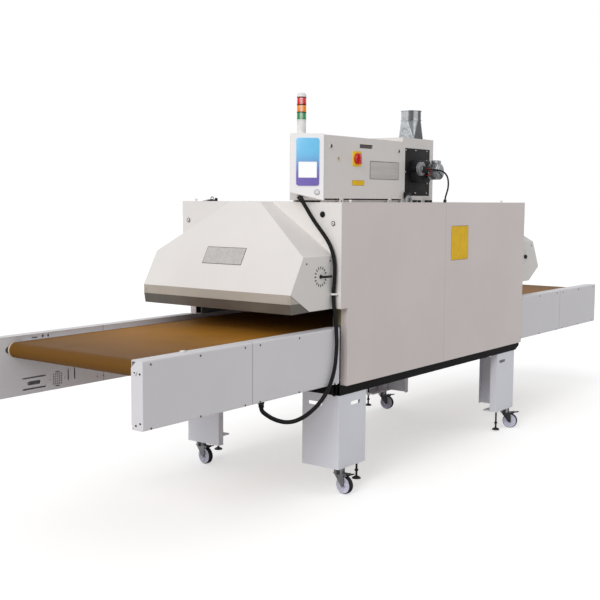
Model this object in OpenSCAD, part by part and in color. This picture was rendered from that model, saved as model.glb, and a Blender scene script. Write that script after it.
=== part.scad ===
// Conveyor dryer for printed textiles, in millimetres.
// +X is the way the belt travels, -Y is the operator's side and +Z is up.
// The origin is on the floor, under the middle of the oven.

/* [Oven body] */
// Length of the oven body
body_l = 2240; // [1900:10:2700]
// Width of the oven body
body_w = 1140; // [1120:5:1300]
// Height of the oven body above its tunnel mouth
oven_h = 560; // [520:5:680]
// Height of the lower edge of the side panels
panel_bottom = 600; // [560:5:612]
// Height of the tunnel's mouth above the belt
mouth_h = 128; // [122:1:160]
// How far the lower front edge of a side panel stands back from the infeed end
mouth_setback = 65; // [40:1:80]
// Sheet thickness of the panels and plates
panel_sheet = 3; // [2:0.5:4]

/* [Hoods] */
// Distance of a hood's sides from the body's sides
hood_in = 50; // [30:1:120]
// Width of the flat ridge at the top of a hood
ridge_w = 210; // [120:10:400]
// Drop from the body's top to where a hood's shoulders meet its sides
knee_drop = 280; // [200:5:330]
// Reach of a hood's top in front of its end plate
hood_top_out = 105; // [60:5:160]
// Reach of a hood's lower front edge
lip_out = 370; // [330:5:450]
// Height of a hood's lower front edge above the mouth's top
lip_rise = 95; // [80:1:120]
// Reach of the heel, where a hood's lower edge turns level
heel_out = 210; // [150:5:260]
// How far the steel lip under a hood hangs below the mouth's top
lip_drop = 5; // [1:1:30]
// Sheet thickness of hoods and lips
hood_sheet = 2; // [1:0.5:3]

/* [Conveyor] */
// Height of the belt's upper face above the lower edge of the side panels
belt_rise = 292; // [285:1:298]
// Gap between each edge of the belt and its rail
belt_gap = 20; // [15:1:100]
// Thickness of the belt
belt_t = 2; // [1:0.5:3]
// Diameter of the belt's turn at each end roller
belt_turn_d = 76; // [66:1:84]
// Distance of the end rollers' axes from the covers' outer ends
roller_in = 135; // [115:1:190]
// Width of a rail with its cover, across the machine
rail_w = 70; // [67:1:75]
// Distance of the covers' outer faces from the body's sides
cover_in = 15; // [11:1:16]
// Height of the covers' top above the belt
cover_rise = 26; // [22:1:30]
// Height of the covers' lower edge above that of the side panels
cover_up = 18; // [16:1:40]
// Length of the whole machine over the rail covers
machine_l = 5090; // [5060:10:5200]
// Distance of the seam between two covers from the middle
cover_seam = 1827; // [1700:1:1900]
// How far the inner ends of the covers reach in under the hoods' end plates
cover_tuck = 13; // [10:1:60]
// Sheet thickness of rails and covers
rail_sheet = 3; // [2:0.5:4]

/* [Frame and legs] */
// Distance of the base frame's ends from the body's ends
frame_back = 20; // [5:1:40]
// Distance of the base frame's sides from the body's sides
frame_in = 15; // [12:1:17]
// Height and width of the frame's square tube
beam = 50; // [40:5:60]
// Distance of the outfeed legs' outer ends from the frame's end
leg_in = 50; // [40:1:60]
// Length of a leg along the machine
leg_l = 260; // [240:5:320]
// Width of a leg across the machine
leg_w = 245; // [200:5:280]
// Height of the underside of the legs
leg_bottom = 145; // [143:1:160]
// Sheet thickness of the legs
leg_sheet = 3; // [2:0.5:4]
// Length of the grip slot in each outer face of a leg
grip_l = 92; // [60:2:110]

/* [Casters and levelling feet] */
// Diameter of a caster wheel
wheel_d = 100; // [90:1:104]
// Width of a caster wheel
wheel_w = 32; // [26:1:34]
// Trail of a caster, from its swivel axis to its wheel axle
trail = 38; // [30:1:42]
// Distance of the infeed casters' swivel axes from the legs' outer ends
infeed_swivel_in = 70; // [50:1:90]
// Distance of the outfeed casters' swivel axes from the legs' outer ends
outfeed_swivel_in = 36; // [36:1:90]
// Distance of the swivel axes from the inner faces of the legs' sides
swivel_in = 42; // [40:1:52]
// Diameter of a levelling foot's pad
pad_d = 50; // [40:1:56]
// Diameter of a levelling foot's threaded rod
rod_d = 12; // [10:1:16]

/* [Cabinet and console] */
// Length of the electrical cabinet
cabinet_l = 790; // [760:5:900]
// Depth of the electrical cabinet
cabinet_d = 226; // [215:1:230]
// Distance of the cabinet's door side from the body's side
cabinet_in = 118; // [90:1:130]
// Height of the electrical cabinet
cabinet_h = 345; // [335:5:355]
// Height of the foot strips under the cabinet
plinth = 10; // [6:1:14]
// Sheet thickness of cabinet, console and housing
case_sheet = 2; // [1.5:0.5:3]
// Width of the console's face
console_w = 175; // [165:1:185]
// Angle by which the console's face is turned to the operator
console_turn = 38; // [34:1:42]
// Width of the touch panel
touch_w = 120; // [90:1:122]
// Height of the touch panel
touch_h = 249; // [200:1:250]
// Diameter of the push button's cap
button_d = 22; // [16:1:24]
// Diameter of the signal tower
tower_d = 50; // [40:1:56]

/* [Burner and flue] */
// Length of the burner housing
housing_l = 360; // [350:5:420]
// Depth of the burner housing
housing_d = 300; // [260:5:360]
// Height of the burner housing
housing_h = 380; // [370:5:400]
// Diameter of the flue collar
flue_d = 120; // [100:2:130]
// Height of the round collar above the square base
collar_h = 60; // [38:2:88]
// Height of the flue's base, which goes from square to round
flue_base_h = 112; // [90:2:130]
// Side of the flue's square base
flue_base = 108; // [100:2:120]
// Diameter of the burner's motor
burner_motor_d = 98; // [80:2:104]

/* [Air circulation] */
// Diameter of the fan wheel
fan_d = 320; // [260:10:360]
// Diameter of the fan motor
fan_motor_d = 150; // [130:5:180]
// Diameter of the fan shaft
fan_shaft_d = 24; // [20:1:30]

/* [Hidden] */
$fn = 48;
// Overrun of every cut
over = 1;
// Gap between pieces that seat on each other
seat = 0.3;
// Radial clearance of a shaft or pin in its hole
fit = 0.05;

// Halves of the main sizes
body_x = body_l / 2;
belt_top = panel_bottom + belt_rise;
mouth_top = belt_top + mouth_h;
body_top = mouth_top + oven_h;
body_y = body_w / 2;
hood_w = body_w - 2 * hood_in;
hood_y = hood_w / 2;
ridge_y = ridge_w / 2;
end_x = machine_l / 2;
cover_w = body_w - 2 * cover_in;
cover_y = cover_w / 2;
cover_top = belt_top + cover_rise;
cover_bottom = panel_bottom + cover_up;
cover_tail = body_x - cover_tuck;
rail_gap = cover_w - 2 * rail_w;
rail_y = rail_gap / 2;
belt_w = rail_gap - 2 * belt_gap;
frame_l = body_l - 2 * frame_back;
frame_x = frame_l / 2;
frame_w = body_w - 2 * frame_in;
frame_y = frame_w / 2;
leg_out = frame_x - leg_in;
roller_x = end_x - roller_in;
roller_span = 2 * roller_x;
knee_z = body_top - knee_drop;
lip_z = mouth_top + lip_rise;
lip_bottom = mouth_top - lip_drop;

// Slope of a hood's front plane, in reach per height
hood_slope = (lip_out - hood_top_out) / (body_top - lip_z);
// Slope of a hood's shoulders, in width per height
shoulder_slope = (hood_y - ridge_y) / (body_top - knee_z);

// Side panels: flange width at the mouth, flange along the edges, and the upright tube behind them
mouth_flange = 40;
edge_flange = 25;
upright = 40;
lower_x = body_x - mouth_setback;
// Locks and plug on the end plates
lock_d = 22;
lock_proud = 6;
lock_in = 51;
lock_y = body_y - lock_in;
lock_drop = 110;
plug_d = 30;
plug_in = 122;
plug_y = body_y - plug_in;
plug_drop = 64;
// Notch of the end plate inside the hood
notch_in = 50;
notch_w = hood_w - 2 * notch_in;
notch_h = 100;
// Clip that holds the conduit to the end plate
clip_out = 16;
clip_y = hood_y + clip_out;
clip_up = 79;
clip_z = mouth_top + clip_up;
clip_h = 10;
clip_arm = 18;
// Vent holes, sensor outlet and knob on a hood's side
vent_count = 16;
vent_d = 6;
vent_ring_r = 46;
vent_out = 114;
vent_up = 175;
vent_z = mouth_top + vent_up;
knob_out_d = 27;
knob_shift = 20;
sensor_t = 10;
sensor_elbow_d = 12;
sensor_elbow_r = 14;
// Steel lip under the infeed hood
lip_bend_up = 53;
lip_lean = 10;
lip_screw_d = 10;
lip_screw_t = 3;
lip_screw_in = 14;
lip_screw_down = 21;
// Lifting screws on the top cover, as shares of the body's length
lift_x_shares = [-0.455, 0.348];
lift_inset = 14;
lift_d = 16;
lift_h = 14;
lift_neck_d = 9;

// Oven chamber, insulation and air box
liner_gap = 5;
liner_y = rail_y - liner_gap;
liner_drop = 80;
liner_top = body_top - liner_drop;
liner_sheet = 2;
liner_inset = 60;
liner_mouth = 1150;
liner_foot = 35;
air_in = 270;
air_x = body_x - air_in;
air_gap = 40;
air_y = liner_y - air_gap;
air_up = 40;
air_low = mouth_top + air_up;
air_h = 100;
air_high = air_low + air_h;
nozzle_count = 12;
nozzle_w = 12;
nozzle_margin = 60;
air_inlet_d = 240;
lug_w = 40;
// Hole for the burner's duct through top cover, insulation and liner
duct_x = 130;
duct_inset = 60;
// Fan wheel
fan_gap = 80;
fan_low = air_high + fan_gap;
fan_h = 90;
fan_plate = 4;
fan_blades = 12;
fan_blade_t = 3;
fan_blade_l = 60;
fan_blade_turn = 24;
fan_hub_d = 70;
shaft_hole_d = 60;
// Fan motor
fan_base = 200;
fan_base_t = 8;
fan_motor_h = 190;
fan_cap_h = 30;
fan_cap_d = 120;
fan_fin_count = 6;
fan_fin_t = 5;
fan_fin_out = 8;
fan_box = [60, 90, 70];
fan_shaft_grip = 80;

// Rollers, bearings and gear motor
roller_z = belt_top - belt_turn_d / 2;
belt_inner_d = belt_turn_d - 2 * belt_t;
roller_d = belt_inner_d - 2 * seat;
roller_gap = 7;
roller_y = rail_y - roller_gap;
shaft_d = 25;
shaft_out = 30;
shaft_y = rail_y + shaft_out;
shaft_far_out = 60;
shaft_far_y = rail_y + shaft_far_out;
rail_flange = 34;
rail_high = cover_top - rail_sheet - seat;
rail_low = cover_bottom + rail_sheet;
rail_end = end_x - rail_sheet - seat;
bearing_w = 84;
bearing_h = 70;
bearing_t = 14;
bearing_hub_d = 44;
bearing_hub_t = 6;
gear_w = 90;
gear_h = 96;
gear_drop = 90;
gear_t = 44;
gear_motor_d = 54;
gear_motor_l = 205;
gear_gap = 1;
// Belt bed: plates on both ends, bars in the oven and below the return run
bed_t = 5;
bed_hem = 28;
bed_gap = 20;
bed_inner = body_x + bed_gap;
bed_short = 55;
bed_outer = roller_x - bed_short;
bar_d = 20;
bar_count = 7;
bar_pitch = 300;
return_x_shares = [-0.436, -0.311, -0.145, 0.145, 0.311, 0.436];
// Punched holes of the rails, measured from the machine's end and from the rail's foot
punch_w = 8;
long_slot = [187, 332, 79, 24];
oval_slot = [217, 299, 51, 20];
mesh_place = [406, 51];
mesh_side = 62;
mesh_count = 5;
mesh_hole = 8;
mesh_slot = [30, 36, 6];
mesh_dot = 46;
upright_slot = [476, 518, 34, 94];
rail_dot_d = 8;
rail_dots = [[673, 25], [713, 26]];
lip_slot = [250, 285, 279, 6];
lip_dot_d = 14;
lip_dots = [[318, 281], [352, 281]];
take_up = [90, 32];
// Rail covers
cover_bend = 7;
cover_gap = 1;
cap_chamfer = 34;
cap_foot = 20;
cap_bolt_d = 18;
cap_bolt_t = 8;
cap_bolt_drop = 50;
cap_bolt_z = cover_top - cap_bolt_drop;
cap_screw_up = 22;
cap_screw_z = cover_bottom + cap_screw_up;
cap_screw_d = 9;
cap_screw_t = 3;
cap_bolt_in = 40;
cap_bolt_y = cover_y - cap_bolt_in;

// Frame
tube_wall = 3;
tail_in = 4;
frame_tail = body_x - tail_in;
frame_nose = 25;
frame_bevel = 54;
cross_out = 390;
cross_xs = [-cross_out, cross_out];
pad_h = rail_low - panel_bottom - seat;
pad_l = 60;
elbow_bend_r = 20;
elbow_d = 12;
elbow_x = body_x;
// Legs
leg_top = panel_bottom - beam;
leg_y = frame_y - leg_sheet;
swivel_y = leg_y - swivel_in;
leg_return_x = 50;
leg_return_y = 40;
leg_strip = 100;
leg_plate = 8;
leg_post = 50;
leg_lid = 6;
grip_h = 20;
grip_drop = 57;
grip_in = [158, 184];
boss_d = 26;
boss_h = 15;
// Casters
caster_turns = [-95, -75, -95, -80];
mount_w = 68;
mount_t = 4;
king_d = 12;
race_d = 60;
crown_t = 6;
crown_gap = 6;
crown_z = wheel_d + crown_gap;
crown_back = 26;
crown_front = 44;
cheek_t = 3;
cheek_gap = 2;
cheek_y = wheel_w / 2 + cheek_gap;
cheek_foot_r = 11;
axle_d = 10;
axle_head_d = 16;
axle_head_t = 3;
hub_w_extra = 1.5;
hub_d = 26;
web_t = 10;
tread_t = 12;
pedal_pin_d = 6;
pedal_x = 58;
pedal_z = 107;
pedal_l = 38;
pedal_t = 5;
pedal_w = 30;
pedal_boss_d = 11;
pedal_rise = 12;
shoe_d = 6;
shoe_out = 7;
shoe_angle = -84;
lug_r = 8;
// Corners in order: near infeed, near outfeed, far infeed, far outfeed
corner_x = [frame_x, leg_out, frame_x, leg_out];
corner_swivel = [infeed_swivel_in, outfeed_swivel_in, infeed_swivel_in, outfeed_swivel_in];
corner_side = [[-1, -1], [1, -1], [-1, 1], [1, 1]];
// Levelling feet, and the height of each pad at rest
foot_deep = 37;
foot_y = leg_y - foot_deep;
foot_in = [230, 184, 230, 228];
foot_rests = [44, 8, 48, 52];
pad_h_low = 5;
pad_h_high = 8;
pad_top_d = 26;
rod_l = 190;
nut_d = 22;
nut_h = 10;
nut_up = 30;

// Cabinet, door and switch
cabinet_x = body_x;
cabinet_end = cabinet_x - cabinet_l;
cabinet_low = body_top + plinth;
cabinet_y = body_y - cabinet_in;
cabinet_top = cabinet_low + cabinet_h;
plinth_in = 14;
door_gap = 8;
door_clear = 1;
hinge_d = 8;
hinge_pin_d = 4;
hinge_out = 4;
hinge_up = 5;
hinge_l = 30;
hinge_knuckle_gap = 0.5;
hinge_in = [160, 140];
hinge_xs = [hinge_in[0] - cabinet_x, -cabinet_end - hinge_in[1]];
door_lock_d = 18;
door_lock_in = 48;
door_lock_drop = 57;
recess_l = 136;
recess_h = 26;
recess_in = 405;
recess_x = recess_in - cabinet_x;
recess_drop = 45;
recess_d = 12;
switch_in = 309;
switch_x = switch_in - cabinet_x;
switch_drop = 117;
switch_z = cabinet_top - switch_drop;
switch_plate = 80;
switch_plate_t = 3;
switch_shaft_d = 10;
knob_d = 62;
knob_top_d = 50;
knob_base_t = 12;
knob_grip_w = 16;
knob_grip_l = 56;
knob_grip_h = 26;
knob_shaft_l = 22;
device_back = 14;
device_y = cabinet_y - cabinet_d + device_back;
device_plate_t = 4;
device_w = 60;
device_h = 90;
device_d = 70;
device_x_shares = [0.152, 0.266, 0.608, 0.722, 0.835];
device_drop = 145;
device_z = cabinet_top - device_drop;
// Console
console_rise = 42;
console_step = 2;
console_up = 5;
console_top = cabinet_top + console_up;
console_u = [-sin(console_turn), cos(console_turn)];
console_n = [-cos(console_turn), -sin(console_turn)];
console_r = [-cabinet_x - console_step, -cabinet_y];
console_l = console_r + console_w * console_u;
console_back = [-cabinet_x, console_l[1] + (console_l[0] + cabinet_x) * console_n[1] / -console_n[0]];
reach_out = -cabinet_x - console_l[0];
touch_from_r = 24;
touch_drop = 273;
touch_low = console_top - touch_drop;
touch_t = 5;
touch_r = 12;
lcd_w = 94;
lcd_h = 80;
lcd_up = 43;
lcd_t = 1;
button_from_r = 34;
button_drop = 307;
button_z = console_top - button_drop;
button_ring_d = 28;
button_ring_t = 4;
button_out = 8;
button_travel = 4;
button_stem_d = 12;
button_stem_l = 16;
tower_from_l = 58;
tower_in = 38;
tower_foot_h = 73;
tower_lens_h = 37;
tower_ring_h = 2;
tower_cap_h = 22;
tower_ring_in = 1;
tower_cap_in = 5;
gland_d = 30;
gland_h = 14;
gland_nose_d = 26;
gland_nose_h = 18;

// Burner housing and burner
housing_x = cabinet_end;
housing_top = body_top + housing_h;
housing_mouth = [30, 40, 39, 60];
burner_plate_t = 4;
burner_in = 180;
burner_x = burner_in - housing_x;
burner_drop = 195;
burner_z = housing_top - burner_drop;
head_w = 150;
head_h = 130;
head_out = 50;
head_in = 90;
flame_d = 110;
flame_l = 130;
neck_d = 64;
burner_motor_in = 237;
burner_motor_x = burner_motor_in - housing_x;
burner_motor_out = 63;
burner_motor_y = cabinet_y + burner_motor_out;
burner_motor_l = 60;
burner_cap_d = 70;
burner_cap_t = 8;
valve_in = 121;
valve_x = valve_in - housing_x;
valve_drop = 181;
valve_z = housing_top - valve_drop;
valve_d = 81;
valve_t = 20;
valve_neck_d = 50;
link_box = [36, 50, 40];
link_in = 89;
link_x = link_in - housing_x;
link_out = 68;
link_y = cabinet_y + link_out;
link_drop = 205;
link_z = housing_top - link_drop;
// Flue
flue_in = 231;
flue_x = flue_in - housing_x;
flue_deep = 84;
flue_y = cabinet_y - flue_deep;
flue_mid = housing_top + flue_base_h;
flue_top = flue_mid + collar_h;
flue_sheet = 1;
flue_flange = 10;
flue_flange_t = 3;
flue_bead = 3;
flue_bead_h = 4;

// Conduit from the console to the rail cover, and the burner's motor lead
conduit_d = 22;
conduit_sides = 12;
conduit_route = [
    [-1172, -352, 1584], [-1168, -361, 1568], [-1163, -374, 1546], [-1157, -394, 1513], [-1152, -419, 1477],
    [-1147, -448, 1441], [-1143, -479, 1403], [-1141, -508, 1362], [-1140, -528, 1318], [-1139, -539, 1273],
    [-1139, -542, 1225], [-1139, -541, 1175], [-1139, -538, 1137], [-1139, -536, 1099], [-1140, -538, 1060],
    [-1144, -546, 1015], [-1149, -557, 970], [-1154, -566, 925], [-1157, -571, 880], [-1158, -573, 832],
    [-1163, -573, 780], [-1172, -573, 725], [-1191, -573, 672], [-1220, -572, 622], [-1258, -569, 578],
    [-1306, -566, 542], [-1362, -561, 512], [-1424, -556, 491], [-1490, -550, 481], [-1552, -546, 486],
    [-1606, -542, 501], [-1652, -536, 521], [-1688, -530, 543], [-1712, -525, 562], [-1721, -523, 576],
    [-1722, -523, 586]];
lead_d = 10;
lead_sides = 8;
lead_route = [
    [-205, -530, 1775], [-190, -530, 1775], [-176, -538, 1775], [-167, -554, 1775], [-160, -573, 1774],
    [-149, -590, 1772], [-131, -600, 1768], [-106, -604, 1761], [-80, -604, 1750], [-56, -602, 1734],
    [-36, -597, 1714], [-18, -589, 1690], [-4, -579, 1664], [6, -566, 1638], [10, -556, 1614],
    [10, -554, 1598]];
lead_gland_d = 18;
lead_gland_h = 18;

// A block between two corners
module block(low, high) {
    translate(low) cube(high - low);
}

// A round bar along X, Y or Z between two places on its axis
module bar_x(d, x0, x1, y, z) {
    translate([x0, y, z]) rotate([0, 90, 0]) cylinder(d = d, h = x1 - x0);
}
module bar_y(d, y0, y1, x, z) {
    translate([x, y0, z]) rotate([-90, 0, 0]) cylinder(d = d, h = y1 - y0);
}
module bar_z(d, z0, z1, x, y) {
    translate([x, y, z0]) cylinder(d = d, h = z1 - z0);
}

// The same piece at both ends, or on both sides
module both_ends() {
    children();
    mirror([1, 0, 0]) children();
}
module both_sides() {
    children();
    mirror([0, 1, 0]) children();
}

// A rectangle with rounded corners, centred
module round_rect(w, h, r) {
    square([w - 2 * r, h], center = true);
    square([w, h - 2 * r], center = true);
    for (sx = [-1, 1], sy = [-1, 1]) translate([sx * (w / 2 - r), sy * (h / 2 - r)]) circle(r);
}

// A slot with round ends, lying along X
module slot_shape(l, h) {
    square([l - h, h], center = true);
    for (s = [-1, 1]) translate([s * (l - h) / 2, 0]) circle(d = h);
}

// Turns a flat shape in X and Z into a wall from y0 to y1
module wall_y(y0, y1) {
    translate([0, y1, 0]) rotate([90, 0, 0]) linear_extrude(y1 - y0) children();
}
// Turns a flat shape in Y and Z into a wall from x0 to x1
module wall_x(x0, x1) {
    translate([x0, 0, 0]) rotate([90, 0, 90]) linear_extrude(x1 - x0) children();
}

// Sweeps a round tube along the points of a route
function unit(v) = v / norm(v);
function along(route, i) = unit(route[min(i + 1, len(route) - 1)] - route[max(i - 1, 0)]);
function ring(route, i, r, sides) =
    let (t = along(route, i), u = unit(cross(t, [0, 1, 0])), w = cross(t, u))
    [for (k = [0 : sides - 1]) route[i] + r * (cos(360 * k / sides) * u + sin(360 * k / sides) * w)];
module tube(route, d, sides) {
    rings = len(route);
    points = [for (i = [0 : rings - 1]) each ring(route, i, d / 2, sides)];
    skin = [for (i = [0 : rings - 2], k = [0 : sides - 1]) each
        let (a = i * sides + k, b = i * sides + (k + 1) % sides)
        [[a, b + sides, b], [a, a + sides, b + sides]]];
    first = [for (k = [1 : sides - 2]) [0, k, k + 1]];
    last = [for (k = [1 : sides - 2], s = (rings - 1) * sides) [s, s + k + 1, s + k]];
    polyhedron(points, concat(skin, first, last));
}

// The hollow of the square tubes is left open at the frame's middle lengths
module square_tube(low, high, axis) {
    inner = [for (k = [0 : 2]) k == axis ? 0 : tube_wall];
    reach = [for (k = [0 : 2]) k == axis ? over : 0];
    difference() {
        block(low, high);
        block(low + inner - reach, high - inner + reach);
    }
}

module base_frame() {
    low = leg_top;
    high = panel_bottom;
    color("#1d1d1f") {
        difference() {
            union() {
                both_sides() square_tube([-frame_x, frame_y - beam, low], [frame_tail, frame_y, high], 0);
                square_tube([-frame_x, beam - frame_y, low], [beam - frame_x, frame_y - beam, high], 1);
                square_tube([leg_out - beam, beam - frame_y, low], [leg_out, frame_y - beam, high], 1);
                for (x = cross_xs) square_tube([x - beam / 2, beam - frame_y, low],
                    [x + beam / 2, frame_y - beam, high], 1);
                both_ends() both_sides() frame_upright();
                both_sides() both_ends() rail_pad();
                both_sides() bevel_plate();
            }
            both_sides() bevel_cut();
        }
        base_elbow();
    }
}
module frame_upright() {
    x1 = lower_x - panel_sheet - seat;
    y1 = body_y - panel_sheet - seat;
    z1 = body_top - 2 * panel_sheet - 2 * seat;
    foot = panel_bottom + panel_sheet + seat;
    block([x1 - upright, y1 - upright, foot], [x1, y1, z1]);
    block([x1 - upright, frame_y - beam, panel_bottom - over], [x1, y1 - edge_flange - seat, foot + over]);
}
module rail_pad() {
    for (x = [lower_x - upright - pad_l, cross_xs[1] - beam / 2])
        block([x, rail_y, panel_bottom - over], [x + pad_l, rail_y + rail_flange, panel_bottom + pad_h]);
}
// The outfeed ends of the long beams are cut off at a slant below, and closed
module bevel_cut() {
    wall_y(frame_y - beam - over, frame_y + over)
        polygon([[frame_tail + over, leg_top - over], [frame_tail - frame_bevel - over, leg_top - over],
            [frame_tail + over, panel_bottom - frame_nose + over]]);
}
module bevel_plate() {
    w = 2 * tube_wall;
    wall_y(frame_y - beam, frame_y) polygon([
        [frame_tail, panel_bottom - frame_nose], [frame_tail, panel_bottom], [frame_tail - tube_wall,
            panel_bottom],
        [frame_tail - tube_wall, panel_bottom - frame_nose], [frame_tail - frame_bevel - w, leg_top],
            [frame_tail - frame_bevel, leg_top]]);
}
// A short bent pipe through which the wires enter the frame
module base_elbow() {
    r = elbow_bend_r;
    translate([-elbow_x, r - frame_y, leg_top + beam / 2])
        rotate([90, 0, 0]) rotate_extrude(angle = -180) translate([r, 0]) circle(d = elbow_d);
    bar_z(elbow_d, leg_top + beam / 2, panel_bottom, r - elbow_x, r - frame_y);
    bar_z(elbow_d, leg_top + beam / 2, panel_bottom, -r - elbow_x, r - frame_y);
}

// Folded side panel with its return flanges; the infeed edge is stepped back under the hood
module side_panel() {
    y0 = body_y - panel_sheet;
    x0 = -body_x + panel_sheet + seat;
    x1 = body_x - panel_sheet - seat;
    z1 = body_top - panel_sheet - seat;
    color("#b9b6b2") {
        wall_y(y0, body_y)
            polygon([[-lower_x, panel_bottom], [x1, panel_bottom], [x1, z1], [x0, z1], [x0, mouth_top],
                [-lower_x, mouth_top]]);
        block([-lower_x, y0 - edge_flange, panel_bottom], [x1, y0 + over, panel_bottom + panel_sheet]);
        block([-lower_x, y0 - mouth_flange, panel_bottom], [-lower_x + panel_sheet, y0 + over, mouth_top]);
        block([x1 - panel_sheet, y0 - mouth_flange, cover_top + cover_gap], [x1, y0 + over, mouth_top]);
        block([x1 - panel_sheet, cover_y + cover_gap, panel_bottom], [x1, y0 + over, mouth_top]);
        block([x0, y0 - edge_flange, z1 - panel_sheet], [x1, y0 + over, z1]);
        block([x0, y0 - edge_flange, mouth_top], [-lower_x + panel_sheet, y0 + over,
            mouth_top + panel_sheet]);
    }
}
module near_side_panel() mirror([0, 1, 0]) side_panel();
module far_side_panel() side_panel();

// End plate above the tunnel's mouth, drawn for the outfeed end
module end_plate() {
    x0 = body_x - panel_sheet;
    difference() {
        union() {
            block([x0, -body_y, mouth_top], [body_x, body_y, body_top]);
            for (s = [-1, 1]) bar_x(lock_d, x0, body_x + lock_proud, s * lock_y, body_top - lock_drop);
            bar_x(plug_d, x0, body_x + lock_proud / 2, -plug_y, body_top - plug_drop);
            both_sides() block([x0 - edge_flange, liner_y + liner_sheet, mouth_top],
                [x0 + over, body_y - panel_sheet - edge_flange - panel_sheet, mouth_top + panel_sheet]);
        }
        block([x0 - over, -notch_w / 2, mouth_top - over], [body_x + over, notch_w / 2,
            mouth_top + notch_h]);
    }
}
module infeed_end_plate() {
    color("#e9e7e5") {
        mirror([1, 0, 0]) end_plate();
        conduit_clip();
    }
}
module outfeed_end_plate() color("#e9e7e5") end_plate();

// Saddle clip round the conduit
module conduit_clip() {
    r = conduit_d / 2 + seat;
    x = conduit_route[13][0];
    difference() {
        union() {
            bar_z(2 * (r + panel_sheet), clip_z - clip_h / 2, clip_z + clip_h / 2, x, -clip_y);
            block([x, -clip_y - clip_arm, clip_z - clip_h / 2], [-body_x + over, -hood_y - seat,
                clip_z + clip_h / 2]);
        }
        bar_z(2 * r, clip_z - clip_h, clip_z + clip_h, x, -clip_y);
    }
}

module top_cover() {
    x1 = body_x - panel_sheet - seat;
    z0 = body_top - panel_sheet;
    color("#dcdad7") {
        difference() {
            block([-x1, -body_y, z0], [x1, body_y, body_top]);
            bar_z(shaft_hole_d, z0 - over, body_top + over, 0, 0);
            duct_hole(z0 - over, body_top + over);
        }
        for (s = lift_x_shares) both_sides() lift_screw(s * body_l);
        gland_at(lead_route, len(lead_route) - 1, -1) bar_z(lead_gland_d, -lead_gland_h - over, 0, 0, 0);
    }
}
module lift_screw(x) {
    bar_z(lift_neck_d, body_top - over, body_top + lift_h, x, body_y - lift_inset);
    bar_z(lift_d, body_top + lift_h / 2, body_top + lift_h, x, body_y - lift_inset);
}
module duct_hole(z0, z1) {
    x = -housing_x + housing_l / 2;
    block([x - duct_x, duct_inset - cabinet_y, z0], [x + duct_x, housing_d - duct_inset - cabinet_y, z1]);
}

// Inner liner of the tunnel, open at both ends and below
module oven_chamber() {
    x1 = body_x - liner_inset;
    foot = rail_high + seat;
    color("#8f9498") difference() {
        union() {
            block([-x1, -liner_y, foot], [x1, liner_y, liner_top]);
            both_sides() block([-x1, liner_y - liner_sheet, foot], [x1, liner_y + liner_foot,
                foot + liner_sheet]);
        }
        block([liner_sheet - x1, liner_sheet - liner_y, foot - over], [x1 - liner_sheet,
            liner_y - liner_sheet, liner_top - liner_sheet]);
        block([-x1 - over, liner_sheet - liner_y, foot - over], [x1 + over, liner_y - liner_sheet,
            liner_mouth]);
        bar_z(shaft_hole_d, liner_top - 2 * liner_sheet, liner_top + over, 0, 0);
        duct_hole(liner_top - 2 * liner_sheet, liner_top + over);
    }
}

module insulation() {
    x1 = lower_x - upright - panel_sheet - 2 * seat;
    low = rail_high + 2 * seat + liner_sheet;
    high = body_top - 2 * panel_sheet - 3 * seat;
    color("#d8c98a") {
        both_sides() block([-x1, liner_y + seat, low], [x1, body_y - panel_sheet - edge_flange - seat,
            high]);
        difference() {
            block([-x1, -liner_y, liner_top + seat], [x1, liner_y, high]);
            bar_z(shaft_hole_d, liner_top, body_top, 0, 0);
            duct_hole(liner_top, body_top);
        }
    }
}

// Nozzle box that blows hot air down on the belt
module air_box() {
    pitch = 2 * (air_x - nozzle_margin) / nozzle_count;
    color("#a8acb0") {
        difference() {
            block([-air_x, -air_y, air_low], [air_x, air_y, air_high]);
            block([liner_sheet - air_x, liner_sheet - air_y, air_low + liner_sheet], [air_x - liner_sheet,
                air_y - liner_sheet, air_high - liner_sheet]);
            for (k = [0 : nozzle_count - 1])
                let (x = (k + 0.5) * pitch - air_x + nozzle_margin)
                block([x - nozzle_w / 2, nozzle_margin - air_y, air_low - over], [x + nozzle_w / 2,
                    air_y - nozzle_margin, air_low + 2 * liner_sheet]);
            bar_z(air_inlet_d, air_high - 2 * liner_sheet, air_high + over, 0, 0);
        }
        both_ends() both_sides() block([air_x - nozzle_margin - lug_w, air_y - over,
            air_high - liner_sheet * 2], [air_x - nozzle_margin, liner_y - liner_sheet - seat, air_high]);
    }
}

module fan_wheel() {
    color("#9aa0a5") {
        bar_z(fan_d, fan_low + fan_h, fan_low + fan_h + fan_plate, 0, 0);
        for (k = [0 : fan_blades - 1])
            rotate([0, 0, 360 * k / fan_blades]) translate([fan_d / 2 - fan_blade_l, 0, fan_low])
            rotate([0, 0, fan_blade_turn]) cube([fan_blade_l - 2 * fan_blade_t, fan_blade_t, fan_h + over]);
        difference() {
            bar_z(fan_d, fan_low - fan_plate, fan_low + over, 0, 0);
            bar_z(fan_d - 2 * fan_blade_l, fan_low - 2 * fan_plate, fan_low + 2 * over, 0, 0);
        }
        bar_z(fan_hub_d, fan_low + fan_h / 2, fan_low + fan_h + fan_hub_d / 2, 0, 0);
        bar_z(fan_shaft_d, fan_low + fan_h, body_top + fan_base_t + fan_shaft_grip - seat, 0, 0);
    }
}

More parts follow.
